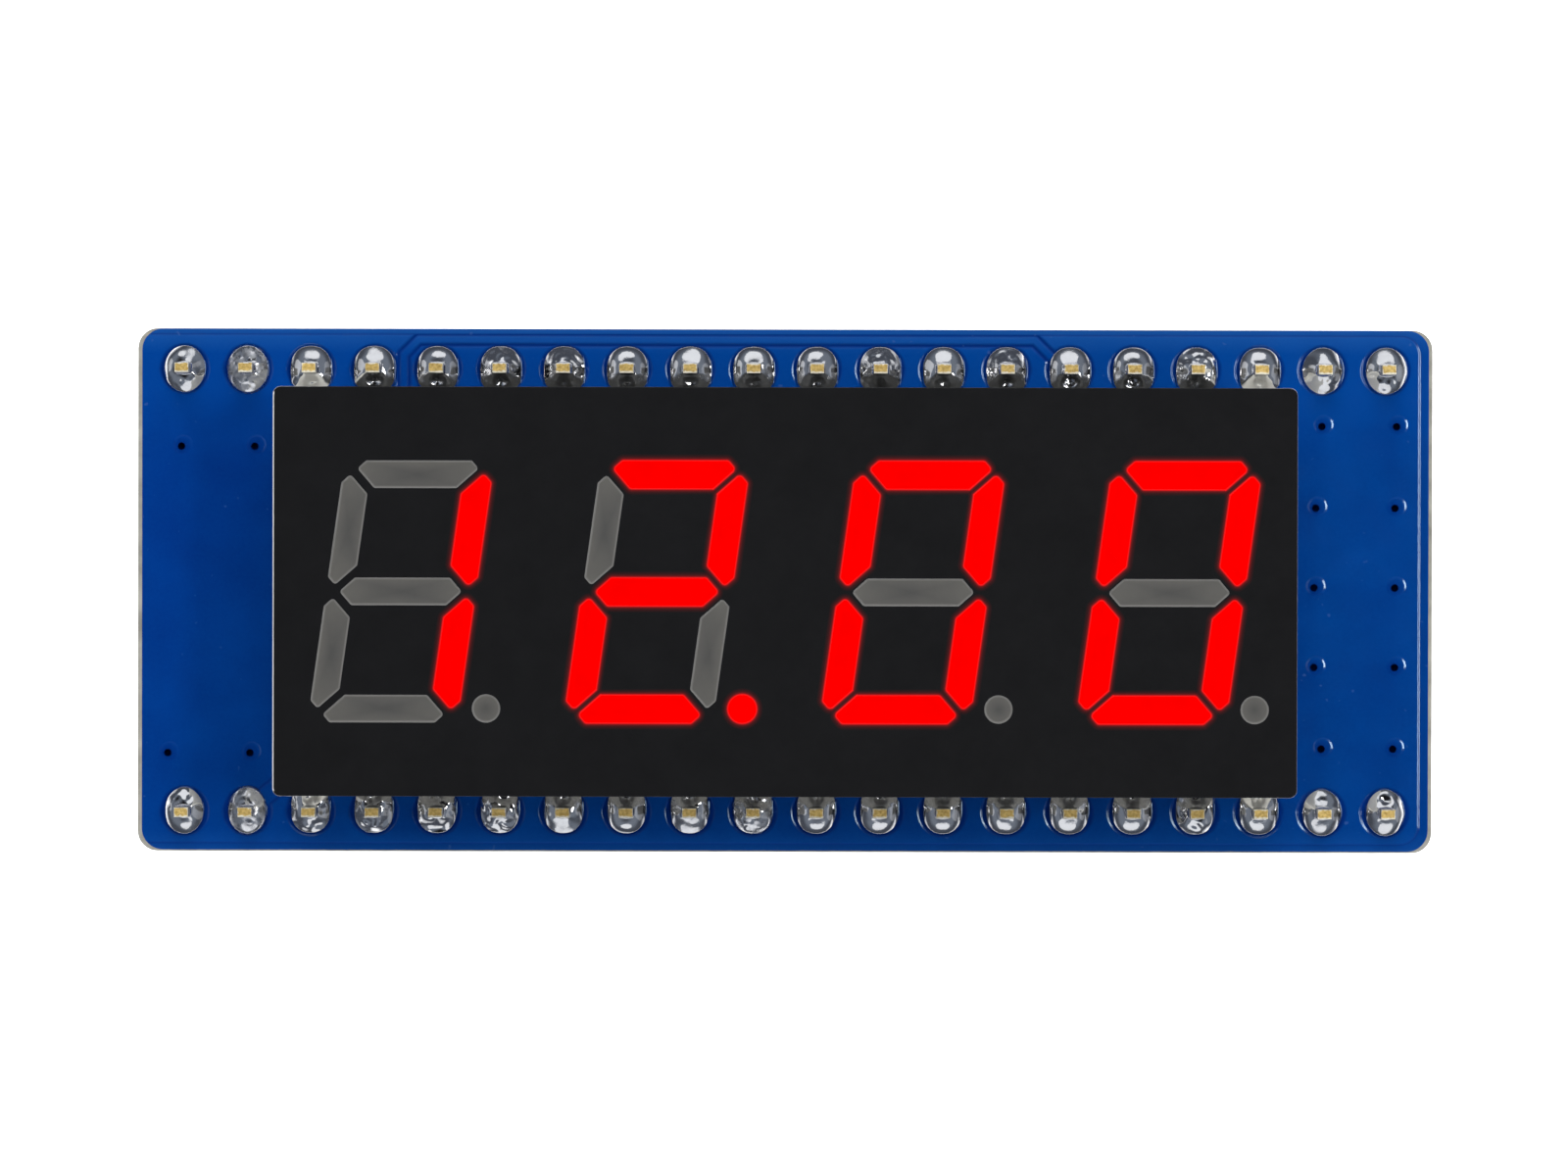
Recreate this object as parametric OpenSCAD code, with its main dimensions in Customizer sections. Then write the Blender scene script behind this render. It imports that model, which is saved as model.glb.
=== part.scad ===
// Seven-segment display module
// A display block on a driver board that plugs onto two rows of header pins.
// +X runs along the digits, +Y to their tops and +Z out of the face.
// The origin is under the middle of the two sockets. Lengths are in millimetres.

/* [Board] */
// Ways in each socket row
ways = 20; // [18:1:26]
// Spacing of the ways along a row
pitch = 2.54; // [2.3:0.01:3]
// Distance between the two socket rows
row_gap = 17.78; // [15:0.01:24]
// From the last way to the end of the board
end_margin = 1.87; // [1.3:0.01:5]
// From each row to the long edge of the board
side_margin = 1.61; // [1.3:0.01:4]
// Thickness of the board
board_t = 1.6; // [0.8:0.1:2.4]
// Radius of the board's corners
board_r = 0.8; // [0.2:0.1:1.2]
// Diameter of the plated holes for the contact tails
tail_hole_d = 1; // [0.85:0.05:1.3]
// Diameter of the stitching vias
via_d = 0.3; // [0.2:0.05:0.5]

/* [Sockets] */
// Height of the sockets under the board
socket_h = 8.5; // [6:0.1:12]
// Width of a socket across its row
socket_w = 2.5; // [2:0.05:2.9]
// Length of a contact cavity along the row
cavity_l = 1.5; // [1.2:0.05:1.8]
// Width of a contact cavity across the row
cavity_w = 1.1; // [0.8:0.05:1.5]
// Plastic left below the cavities
floor_t = 1.2; // [0.8:0.1:2]
// Side of the square pin entries
entry = 0.95; // [0.8:0.05:1.1]
// Width of the lead-in bevel round an entry
lead_in = 0.35; // [0.1:0.05:0.5]

/* [Contacts] */
// Thickness of the contact strip
contact_t = 0.38; // [0.2:0.02:0.6]
// Width of the contact tails
tail_w = 0.56; // [0.4:0.02:0.7]
// How far a tail stands out of its joint
tail_proud = 0.3; // [0.1:0.05:1]
// Height of a contact's shoulder
shoulder_h = 1.2; // [0.6:0.1:2]
// Depth of the shoulder below the board
shoulder_drop = 0.5; // [0.1:0.1:1]
// Width of a spring tine
tine_w = 0.34; // [0.2:0.02:0.44]
// Gap between a tine and the wall of its cavity
tine_clear = 0.08; // [0.04:0.02:0.2]
// Gap between the nips that grip a pin
nip_gap = 0.5; // [0.3:0.05:0.6]
// Radius of a nip
nip_r = 0.3; // [0.2:0.05:0.5]
// Gap between the tips of the tines and the floor of their cavity
tip_clear = 0.15; // [0.05:0.05:0.5]

/* [Solder joints] */
// Width of a joint along the row
joint_w = 1.63; // [1.4:0.01:2]
// How much longer than wide a joint is
joint_stretch = 0.21; // [0.05:0.01:0.5]
// Height of a joint's dome above the board
joint_h = 0.72; // [0.5:0.02:0.8]
// Height to which the solder climbs a tail
wick_h = 1.1; // [0.9:0.05:1.6]
// Solder left round a tail at that height
wick_t = 0.05; // [0.02:0.01:0.2]
// How far the middle of a joint lies outside its tail
joint_shift = 0.05; // [0.01:0.01:0.15]
// Gap between the joints and the display
joint_clear = 0.02; // [0.01:0.01:0.2]

/* [Display] */
// Number of digits
digits = 4; // [2:1:4]
// Spacing of the digits
digit_pitch = 10; // [9:0.1:12]
// Height of the display above the board
display_h = 7; // [5.6:0.1:9]
// Radius of the display's upright edges
display_r = 0.3; // [0.1:0.05:0.8]
// Thickness of the rim round the back of the display
wall = 1; // [0.6:0.1:1.4]
// Depth of the light wells
well_h = 4.2; // [3:0.1:5.1]
// Width of a well at the dies as a share of its width at the face
well_share = 0.45; // [0.38:0.01:0.9]
// Thickness of the die carrier
carrier_t = 1; // [0.6:0.1:1.2]
// Gap between the carrier and the rim
carrier_clear = 0.1; // [0.05:0.05:0.3]
// Depth of the potting below the edge of the rim
potting_sink = 0.2; // [0.05:0.05:0.4]
// Side of a light-emitting die
die_w = 0.28; // [0.2:0.02:0.34]
// Height of a light-emitting die
die_h = 0.16; // [0.1:0.02:0.3]

/* [Digits] */
// Height of a digit
digit_h = 10.2; // [8:0.1:12.2]
// Width of an upright digit
digit_w = 5.8; // [5:0.1:6.8]
// Width of a bar
bar_t = 1.05; // [0.8:0.05:1.3]
// Gap between neighbouring bars
bar_gap = 0.35; // [0.2:0.05:0.5]
// Width of the blunt ends of the bars
bar_blunt = 0.3; // [0.1:0.05:0.36]
// Radius of the corners of the bars
bar_r = 0.12; // [0.04:0.02:0.15]
// Lean of the digits in degrees
slant = 8; // [0:1:12]
// Diameter of a decimal point
point_d = 1.08; // [0.9:0.02:1.3]
// Gap between a digit and its point
point_gap = 0.54; // [0.3:0.02:0.8]
// Figures that are alight
shown = "1200"; // ["1200", "8888", "3140"]
// Digit whose point is alight
point_shown = 2; // [1:1:4]

/* [Display pins] */
// Pins in each of the display's two rows
row_pins = 6; // [4:1:7]
// Spacing of the display pins
pin_pitch = 2.54; // [2:0.01:3]
// Diameter of a display pin
pin_d = 0.5; // [0.4:0.05:0.65]
// Gap between the pins and the display's rim
pin_margin = 0.4; // [0.1:0.05:1]
// How far the pins stand out behind the board
pin_out = 1.2; // [0.9:0.1:2]
// Diameter of the plated holes for the display pins
pin_hole_d = 0.8; // [0.7:0.05:1]
// Diameter of a pin's joint on the back of the board
pin_joint_d = 1.7; // [1.2:0.1:1.9]
// Height of a pin's joint
pin_joint_h = 0.85; // [0.4:0.05:1.1]
// Solder left round a pin at the top of its joint
pin_joint_t = 0.06; // [0.02:0.01:0.15]

/* [Driver chips] */
// Leads on each side of a chip
side_leads = 8; // [6:1:10]
// Spacing of the leads
lead_pitch = 1.27; // [1:0.01:1.5]
// Width of a lead
lead_w = 0.42; // [0.3:0.02:0.55]
// Thickness of a lead
lead_t = 0.2; // [0.15:0.01:0.25]
// From a chip's side to the toes of its leads
lead_reach = 1.05; // [0.9:0.05:1.3]
// Length of a lead's level shoulder outside the body
lead_shoulder = 0.25; // [0.15:0.05:0.35]
// Length of a lead's foot
lead_foot = 0.5; // [0.35:0.05:0.55]
// Length of a lead inside the body
lead_root = 0.4; // [0.2:0.05:0.8]
// Width of a chip's body
chip_w = 3.9; // [3:0.1:4.6]
// Height of a chip's body
chip_h = 1.45; // [1:0.05:1.8]
// Gap under a chip's body
chip_stand = 0.15; // [0.05:0.05:0.3]
// From the last lead to the end of the body
chip_end = 0.505; // [0.4:0.05:1]
// How far a body's top and bottom stand in from its widest line
chip_set_in = 0.15; // [0.05:0.01:0.3]
// Diameter of the first-lead mark
mark_d = 0.8; // [0.4:0.1:1]
// Depth of the first-lead mark
mark_depth = 0.08; // [0.04:0.02:0.2]
// Gap between the mark and the edges of the body's top
mark_margin = 0.3; // [0.1:0.05:0.6]

/* [Resistors and capacitors] */
// Number of resistors
resistors = 8; // [4:1:8]
// Length of a resistor
resistor_l = 1.6; // [1.2:0.1:2]
// Width of a resistor
resistor_w = 0.8; // [0.6:0.05:1]
// Height of a resistor
resistor_h = 0.45; // [0.3:0.05:0.6]
// Gap between neighbouring resistors
resistor_gap = 0.45; // [0.2:0.05:0.7]
// Length of a capacitor
capacitor_l = 2; // [1.4:0.1:2.6]
// Width of a capacitor
capacitor_w = 1.25; // [0.8:0.05:1.6]
// Height of a capacitor
capacitor_h = 0.9; // [0.6:0.05:1.3]
// Length of an end cap as a share of its part's length
cap_share = 0.2; // [0.1:0.01:0.3]
// Thickness of an end cap's plating
cap_t = 0.04; // [0.02:0.01:0.08]
// Gap between the resistors and the driver chips
bank_gap = 1.75; // [0.8:0.05:2.5]
// Gap between a driver chip and its capacitor
capacitor_gap = 1.4; // [0.6:0.05:2]

/* [Hidden] */
$fn = 48;
// Steps along a rounded corner
CORNER_STEPS = 4;
// How far cuts run past the surfaces that they open
overrun = 0.1;

SEGMENTS = ["a", "b", "c", "d", "e", "f", "g"];
FIGURES = ["abcdef", "bc", "abdeg", "abcdg", "bcfg", "acdfg", "acdefg", "abc", "abcdefg", "abcdfg"];
ROWS = ["upper", "lower"];
CHIPS = ["1", "2"];

// Angles
HALF_TURN = 180;
MITRE = 45;

joint_l = joint_w + joint_stretch;
board_l = (ways - 1) * pitch + 2 * end_margin;
board_w = row_gap + 2 * side_margin;
socket_l = ways * pitch;
display_l = digits * digit_pitch;
display_w = row_gap - joint_l + 2 * joint_shift - 2 * joint_clear;

// Levels from the bottom of the sockets upwards
z_back = socket_h;
z_front = z_back + board_t;
z_face = z_front + display_h;
recess_h = display_h - well_h;
z_dies = z_front + recess_h;
z_potting = z_dies - carrier_t;

// Places of the vias on the bare ends of the board: outwards as shares of the length of an end,
// upwards as shares of the display's width
end_l = (board_l - display_l) / 2;
left_via_shares = [[0.22, 0.36], [0.71, 0.36], [0.25, -0.41], [0.8, -0.41]];
right_via_shares = [
    [0.26, 0.415], [0.76, 0.415], [0.22, 0.21], [0.75, 0.21], [0.21, 0.01],
    [0.75, 0.01], [0.21, -0.19], [0.75, -0.19], [0.26, -0.395], [0.74, -0.395],
];

// Contact levels and the edges of its tines
shoulder_top = socket_h - shoulder_drop;
shoulder_bottom = shoulder_top - shoulder_h;
tail_top = z_front + wick_h + tail_proud;
nip_z = floor_t + tip_clear + nip_r;
tine_outer = cavity_l / 2 - tine_clear;
tine_inner = tine_outer - tine_w;

// Domes are caps of a sphere, with a neck that climbs the tail
dome_r = (joint_w * joint_w / 4 + joint_h * joint_h) / (2 * joint_h);
neck_foot_share = 0.88;
neck_r = norm([tail_w, contact_t]) / 2 + joint_shift + wick_t;

// Edges of an upright digit about its middle
bar_x_out = digit_w / 2;
bar_x_in = bar_x_out - bar_t;
bar_y_out = digit_h / 2;
bar_y_in = bar_y_out - bar_t;
mitre_back = bar_gap * cos(MITRE);
side_top = bar_y_in - mitre_back;
side_bottom = bar_t / 2 + bar_gap / cos(MITRE);
point_x = bar_x_out + point_gap + point_d / 2;
point_y = point_d / 2 - bar_y_out;

pin_row_y = display_w / 2 - wall - pin_margin - pin_d / 2;

chip_l = (side_leads - 1) * lead_pitch + 2 * chip_end;
resistor_pitch = resistor_w + resistor_gap;
bank_l = resistors * resistor_pitch - resistor_gap;
chip_x = bank_l / 2 + bank_gap + chip_l / 2;
capacitor_x = chip_x + chip_l / 2 + capacitor_gap + capacitor_w / 2;

function segment_node(digit, segment) = str("digit_", digit, "_segment_", segment);
function point_node(digit) = str("digit_", digit, "_point");
function leds_node(digit) = str("digit_", digit, "_leds");
function row_node(row, piece) = str(row, "_", piece);
function chip_node(chip, piece) = str("driver_chip_", chip, "_", piece);

// Outline helpers

function unit(v) = v / norm(v);
function flipped(points, x, y) = [for (p = points) [p.x * x, p.y * y]];
function reversed(list) = [for (i = [len(list) - 1:-1:0]) list[i]];

// Arc that rounds the corner at p between the directions u and v to its neighbours
function corner_arc(p, u, v, r) =
    let (half = acos(u * v) / 2)
    let (middle = p + unit(u + v) * r / sin(half))
    let (first = p + u * r / tan(half) - middle)
    let (last = p + v * r / tan(half) - middle)
    let (start = atan2(first.y, first.x))
    let (sweep = (atan2(last.y, last.x) - start + 3 * HALF_TURN) % (2 * HALF_TURN) - HALF_TURN)
    [for (i = [0:CORNER_STEPS])
        middle + r * [cos(start + sweep * i / CORNER_STEPS), sin(start + sweep * i / CORNER_STEPS)]];

function rounded(points, r) =
    let (n = len(points))
    [for (i = [0:n - 1])
        each corner_arc(points[i], unit(points[(i + n - 1) % n] - points[i]),
            unit(points[(i + 1) % n] - points[i]), r)];

function rectangle(l, w) = [[l, w], [-l, w], [-l, -w], [l, -w]] / 2;

// Strip of thickness t along a path, with mitred bends
function bend_normal(path, i) =
    let (before = unit(path[max(i, 1)] - path[max(i, 1) - 1]))
    let (after = unit(path[min(i + 1, len(path) - 1)] - path[min(i, len(path) - 2)]))
    [-before.y - after.y, before.x + after.x] / (1 + before * after);
function strip_side(path, d) = [for (i = [0:len(path) - 1]) path[i] + d * bend_normal(path, i)];
function strip(path, t) = concat(strip_side(path, t / 2), reversed(strip_side(path, -t / 2)));

// Block with straight sides that change from l0 by w0 to l1 by w1 over its height
module trapezoid(b0, b1, h) {
    polygon([[-b0 / 2, 0], [b0 / 2, 0], [b1 / 2, h], [-b1 / 2, h]]);
}
module frustum(l0, w0, l1, w1, h) {
    intersection() {
        rotate([90, 0, 0]) linear_extrude(height = 2 * max(w0, w1), center = true) trapezoid(l0, l1, h);
        rotate([90, 0, 90]) linear_extrude(height = 2 * max(l0, l1), center = true) trapezoid(w0, w1, h);
    }
}

// Places

function way_x(i) = (i - (ways - 1) / 2) * pitch;
function digit_x(digit) = (digit - (digits + 1) / 2) * digit_pitch;
function pin_x(i) = (i - (row_pins - 1) / 2) * pin_pitch;

module at_row(row) {
    mirror([0, row == "lower" ? 1 : 0, 0]) translate([0, row_gap / 2, 0]) children();
}
module at_ways(row) {
    for (i = [0:ways - 1])
        at_row(row) translate([way_x(i), 0, 0]) children();
}
module at_digit(digit) {
    translate([digit_x(digit), 0, 0]) children();
}
module at_pins() {
    for (i = [0:row_pins - 1], side = [-1, 1])
        translate([pin_x(i), side * pin_row_y, 0]) children();
}
module on_back() {
    translate([0, 0, z_back]) rotate([180, 0, 0]) children();
}
module at_chip(chip) {
    on_back() translate([chip == "1" ? -chip_x : chip_x, 0, 0]) children();
}
module at_resistors() {
    for (i = [0:resistors - 1])
        on_back() translate([(i - (resistors - 1) / 2) * resistor_pitch, 0, 0]) rotate([0, 0, 90]) children();
}
module at_capacitors() {
    for (side = [-1, 1])
        on_back() translate([side * capacitor_x, 0, 0]) rotate([0, 0, 90]) children();
}

// Circuit board

module via_holes(side, place_shares) {
    for (place = place_shares)
        translate([side * (display_l / 2 + place.x * end_l), place.y * display_w, z_back - overrun])
            cylinder(d = via_d, h = board_t + 2 * overrun);
}
module circuit_board() {
    color("mediumblue") difference() {
        translate([0, 0, z_back]) linear_extrude(height = board_t)
            polygon(rounded(rectangle(board_l, board_w), board_r));
        for (row = ROWS)
            at_ways(row) translate([0, 0, z_back - overrun])
                cylinder(d = tail_hole_d, h = board_t + 2 * overrun);
        at_pins() translate([0, 0, z_back - overrun]) cylinder(d = pin_hole_d, h = board_t + 2 * overrun);
        via_holes(1, right_via_shares);
        via_holes(-1, left_via_shares);
    }
}

// Digits: each bar fills a light well that narrows from the face to its die

function slanted(p) = [p.x + p.y * tan(slant), p.y];

// Right half of the top bar, from its inner edge round its blunt end
top_bar_half = [
    [bar_x_in - mitre_back, bar_y_in],
    [bar_x_in - mitre_back + bar_t - bar_blunt, bar_y_out - bar_blunt],
    [bar_x_in - mitre_back + bar_t - 2 * bar_blunt, bar_y_out],
];
top_bar = concat(top_bar_half, reversed(flipped(top_bar_half, -1, 1)));
middle_bar = [
    [bar_x_in, bar_t / 2], [bar_x_in + bar_t / 2, 0], [bar_x_in, -bar_t / 2],
    [-bar_x_in, -bar_t / 2], [-bar_x_in - bar_t / 2, 0], [-bar_x_in, bar_t / 2],
];
side_bar = [
    [bar_x_in, side_bottom],
    [bar_x_in, side_top],
    [bar_x_out - bar_blunt, side_top + bar_t - bar_blunt],
    [bar_x_out, side_top + bar_t - 2 * bar_blunt],
    [bar_x_out, side_bottom - bar_t + 2 * bar_blunt],
    [bar_x_out - bar_blunt, side_bottom - bar_t + bar_blunt],
];
function side_sign(segment) = segment == "e" || segment == "f" ? -1 : 1;
function height_sign(segment) = segment == "c" || segment == "d" || segment == "e" ? -1 : 1;
function upright_bar(segment) =
    segment == "g" ? middle_bar : segment == "a" || segment == "d" ? top_bar : side_bar;
function upright_middle(segment) =
    segment == "g" ? [0, 0]
    : segment == "a" || segment == "d" ? [0, (bar_y_in + bar_y_out) / 2]
    : [(bar_x_in + bar_x_out) / 2, (side_bottom + side_top) / 2];
function bar_outline(segment) =
    let (corners = flipped(upright_bar(segment), side_sign(segment), height_sign(segment)))
    rounded([for (p = corners) slanted(p)], bar_r);
function bar_middle(segment) =
    slanted(flipped([upright_middle(segment)], side_sign(segment), height_sign(segment))[0]);
point_middle = slanted([point_x, point_y]);

module bar_well(segment) {
    middle = bar_middle(segment);
    translate([middle.x, middle.y, z_face]) mirror([0, 0, 1])
        linear_extrude(height = well_h, scale = well_share)
            translate(-middle) polygon(bar_outline(segment));
}
module point_well() {
    translate([point_middle.x, point_middle.y, z_dies])
        cylinder(d1 = point_d * well_share, d2 = point_d, h = well_h);
}
module die(middle) {
    translate([middle.x - die_w / 2, middle.y - die_w / 2, z_dies]) cube([die_w, die_w, die_h]);
}

function is_lit(digit, segment) = len(search(segment, FIGURES[ord(shown[digit - 1]) - ord("0")])) > 0;

module digit_segment(digit, segment) {
    color(is_lit(digit, segment) ? "red" : "dimgray") at_digit(digit) difference() {
        bar_well(segment);
        die(bar_middle(segment));
    }
}
module digit_point(digit) {
    color(digit == point_shown ? "red" : "dimgray") at_digit(digit) difference() {
        point_well();
        die(point_middle);
    }
}
module digit_leds(digit) {
    color("gold") at_digit(digit) {
        for (segment = SEGMENTS) die(bar_middle(segment));
        die(point_middle);
    }
}

// Display block

module display_housing() {
    color("whitesmoke") difference() {
        translate([0, 0, z_front]) linear_extrude(height = display_h)
            polygon(rounded(rectangle(display_l, display_w), display_r));
        translate([0, 0, z_front - overrun]) linear_extrude(height = recess_h + overrun)
            polygon(rectangle(display_l - 2 * wall, display_w - 2 * wall));
        for (digit = [1:digits]) at_digit(digit) {
            for (segment = SEGMENTS) bar_well(segment);
            point_well();
        }
    }
}
module pin_rods() {
    at_pins() translate([0, 0, z_back - pin_out]) cylinder(d = pin_d, h = z_dies - z_back + pin_out);
}
module led_carrier() {
    color("palegoldenrod") difference() {
        translate([0, 0, z_potting]) linear_extrude(height = carrier_t)
            polygon(rectangle(display_l - 2 * (wall + carrier_clear), display_w - 2 * (wall + carrier_clear)));
        pin_rods();
    }
}
module display_potting() {
    color("ivory") difference() {
        translate([0, 0, z_front + potting_sink]) linear_extrude(height = recess_h - carrier_t - potting_sink)
            polygon(rectangle(display_l - 2 * wall, display_w - 2 * wall));
        pin_rods();
    }
}
module display_pins() {
    color("silver") pin_rods();
}
module display_pin_joints() {
    color("lightgray") difference() {
        at_pins() {
            translate([0, 0, z_back]) cylinder(d = pin_hole_d, h = board_t);
            translate([0, 0, z_back - pin_joint_h])
                cylinder(d1 = pin_d + 2 * pin_joint_t, d2 = pin_joint_d, h = pin_joint_h);
        }
        pin_rods();
    }
}

// Sockets with fork contacts

module socket_body(row) {
    color("dimgray") difference() {
        at_row(row) translate([-socket_l / 2, -socket_w / 2, 0]) cube([socket_l, socket_w, socket_h]);
        at_ways(row) {
            translate([-cavity_l / 2, -cavity_w / 2, floor_t]) cube([cavity_l, cavity_w, socket_h]);
            translate([-entry / 2, -entry / 2, -overrun]) cube([entry, entry, floor_t + 2 * overrun]);
            frustum(entry + 2 * lead_in, entry + 2 * lead_in, entry, entry, lead_in);
        }
    }
}
module fork_outline() {
    translate([-tail_w / 2, shoulder_bottom]) square([tail_w, tail_top - shoulder_bottom]);
    translate([-cavity_l / 2, shoulder_bottom]) square([cavity_l, shoulder_h]);
    for (side = [0, 1]) mirror([side, 0]) {
        translate([tine_inner, nip_z]) square([tine_w, shoulder_top - nip_z]);
        intersection() {
            translate([nip_gap / 2 + nip_r, nip_z]) circle(r = nip_r);
            translate([0, nip_z - 2 * nip_r]) square([tine_outer, 4 * nip_r]);
        }
    }
}
module contact() {
    rotate([90, 0, 0]) linear_extrude(height = contact_t, center = true) fork_outline();
}
module socket_contacts(row) {
    color("goldenrod") at_ways(row) contact();
}

// Half of a joint's section, to the right of its middle
module joint_section() {
    intersection() {
        translate([0, joint_h - dome_r]) circle(r = dome_r);
        square([2 * dome_r, 2 * dome_r]);
    }
    polygon([[0, 0], [neck_foot_share * joint_w / 2, 0], [neck_r, wick_h], [0, wick_h]]);
}
module joint_dome() {
    for (turn = [0, 180]) rotate([0, 0, turn]) {
        translate([0, joint_stretch / 2, 0]) rotate_extrude(angle = 180) joint_section();
        translate([0, joint_stretch / 2, 0]) rotate([90, 0, 0])
            linear_extrude(height = joint_stretch) joint_section();
    }
}
module solder_joints(row) {
    color("silver") at_ways(row) difference() {
        union() {
            translate([0, joint_shift, z_front]) joint_dome();
            translate([0, 0, z_back]) cylinder(d = tail_hole_d, h = board_t);
        }
        contact();
    }
}

// Driver chips on the back

module lead_bars() {
    root = chip_w / 2 - lead_root;
    knee = chip_w / 2 + lead_shoulder;
    toe = chip_w / 2 + lead_reach;
    exit_z = chip_stand + chip_h / 2;
    path = [[root, exit_z], [knee, exit_z], [toe - lead_foot, lead_t / 2], [toe, lead_t / 2]];
    for (i = [0:side_leads - 1], turn = [0, 180])
        rotate([0, 0, turn]) translate([(i - (side_leads - 1) / 2) * lead_pitch - lead_w / 2, 0, 0])
            rotate([90, 0, 90]) linear_extrude(height = lead_w) polygon(strip(path, lead_t));
}
module chip_body(chip) {
    top_l = chip_l - 2 * chip_set_in;
    top_w = chip_w - 2 * chip_set_in;
    mark_reach = mark_margin + mark_d / 2;
    color("darkslategray") at_chip(chip) difference() {
        translate([0, 0, chip_stand]) {
            frustum(top_l, top_w, chip_l, chip_w, chip_h / 2);
            translate([0, 0, chip_h / 2]) frustum(chip_l, chip_w, top_l, top_w, chip_h / 2);
        }
        translate([mark_reach - top_l / 2, mark_reach - top_w / 2, chip_stand + chip_h - mark_depth])
            cylinder(d = mark_d, h = mark_depth + overrun);
        lead_bars();
    }
}
module chip_leads(chip) {
    color("lightgray") at_chip(chip) lead_bars();
}

// Resistors and capacitors on the back, each a ceramic body between two plated end caps

module ceramic(l, w, h) {
    translate([-l / 2 + cap_t, -w / 2 + cap_t, cap_t]) cube([l - 2 * cap_t, w - 2 * cap_t, h - 2 * cap_t]);
}
module end_caps(l, w, h) {
    difference() {
        for (turn = [0, 180])
            rotate([0, 0, turn]) translate([l / 2 - cap_share * l, -w / 2, 0]) cube([cap_share * l, w, h]);
        ceramic(l, w, h);
    }
}
module resistor_bodies() {
    color("black") at_resistors() ceramic(resistor_l, resistor_w, resistor_h);
}
module resistor_caps() {
    color("lightgray") at_resistors() end_caps(resistor_l, resistor_w, resistor_h);
}
module capacitor_bodies() {
    color("tan") at_capacitors() ceramic(capacitor_l, capacitor_w, capacitor_h);
}
module capacitor_caps() {
    color("lightgray") at_capacitors() end_caps(capacitor_l, capacitor_w, capacitor_h);
}

circuit_board();
display_housing();
for (digit = [1:digits]) {
    for (segment = SEGMENTS)
        digit_segment(digit, segment);
    digit_point(digit);
    digit_leds(digit);
}
led_carrier();
display_potting();
display_pins();
display_pin_joints();
for (row = ROWS) {
    socket_body(row);
    socket_contacts(row);
    solder_joints(row);
}
for (chip = CHIPS) {
    chip_body(chip);
    chip_leads(chip);
}
resistor_bodies();
resistor_caps();
capacitor_bodies();
capacitor_caps();
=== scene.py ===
"""Seven segment display module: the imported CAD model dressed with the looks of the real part."""
import math
import random

import bpy
from mathutils import Matrix, Quaternion, Vector, geometry, noise


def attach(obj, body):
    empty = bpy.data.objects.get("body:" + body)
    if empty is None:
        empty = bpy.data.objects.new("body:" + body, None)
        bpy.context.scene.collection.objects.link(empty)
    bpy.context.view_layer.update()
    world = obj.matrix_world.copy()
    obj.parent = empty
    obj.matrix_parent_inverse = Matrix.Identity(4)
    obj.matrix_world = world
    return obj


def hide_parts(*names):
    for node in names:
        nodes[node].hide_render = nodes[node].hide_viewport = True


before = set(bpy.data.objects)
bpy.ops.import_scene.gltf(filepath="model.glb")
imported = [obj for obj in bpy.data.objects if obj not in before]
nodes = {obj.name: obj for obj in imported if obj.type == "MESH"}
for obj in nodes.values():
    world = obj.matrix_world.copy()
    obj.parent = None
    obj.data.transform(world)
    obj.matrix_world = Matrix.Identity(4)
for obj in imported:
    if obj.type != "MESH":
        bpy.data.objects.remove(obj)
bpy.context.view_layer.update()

MM = 0.001

# Sizes of the part in millimetres, as in its source
BOARD_L, BOARD_W, BOARD_R = 52.0, 21.0, 0.8
Z_BACK, Z_FRONT, Z_DIES, Z_FACE = 8.5, 10.1, 12.9, 17.1
WAYS, PITCH, ROW_Y = 20, 2.54, 8.89
ROW_PINS, PIN_Y = 6, 6.35
TAIL_HOLE_R, PIN_HOLE_R, VIA_R = 0.5, 0.4, 0.15
DISPLAY_L, DISPLAY_W, DISPLAY_R, WALL = 40.0, 16.0, 0.3, 1.0
DIGIT_PITCH, DIGIT_W, DIGIT_H = 10.0, 5.8, 10.2
BAR_T, BAR_GAP, BAR_BLUNT, BAR_R = 1.05, 0.35, 0.3, 0.12
POINT_D, POINT_GAP, SLANT, WELL_SHARE = 1.08, 0.54, math.radians(8), 0.45
TAIL_TOP, TAIL_HALF_L, TAIL_HALF_W = 11.5, 0.28, 0.19
CHIP_X, CHIP_LEADS, LEAD_PITCH, LEAD_Y = 11.475, 8, 1.27, 2.7
RESISTORS, RESISTOR_PITCH, CAPACITOR_X = 8, 1.25, 18.45
LEFT_VIAS = [(0.22, 0.36), (0.71, 0.36), (0.25, -0.41), (0.8, -0.41)]
RIGHT_VIAS = [
    (0.26, 0.415), (0.76, 0.415), (0.22, 0.21), (0.75, 0.21), (0.21, 0.01),
    (0.75, 0.01), (0.21, -0.19), (0.75, -0.19), (0.26, -0.395), (0.74, -0.395),
]
SHOWN = ("bc", "abdegp", "abcdef", "abcdef")
DIGITS = len(SHOWN)

END_L = (BOARD_L - DISPLAY_L) / 2
VIAS = [(-DISPLAY_L / 2 - u * END_L, v * DISPLAY_W) for u, v in LEFT_VIAS]
VIAS += [(DISPLAY_L / 2 + u * END_L, v * DISPLAY_W) for u, v in RIGHT_VIAS]


def way_x(i):
    return (i - (WAYS - 1) / 2) * PITCH


def pin_x(i):
    return (i - (ROW_PINS - 1) / 2) * PITCH


def lead_x(end, i):
    return end * CHIP_X + (i - (CHIP_LEADS - 1) / 2) * LEAD_PITCH


def resistor_x(i):
    return (i - (RESISTORS - 1) / 2) * RESISTOR_PITCH


# Materials

NOISE_RANGE = (0.3, 0.7)


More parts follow.
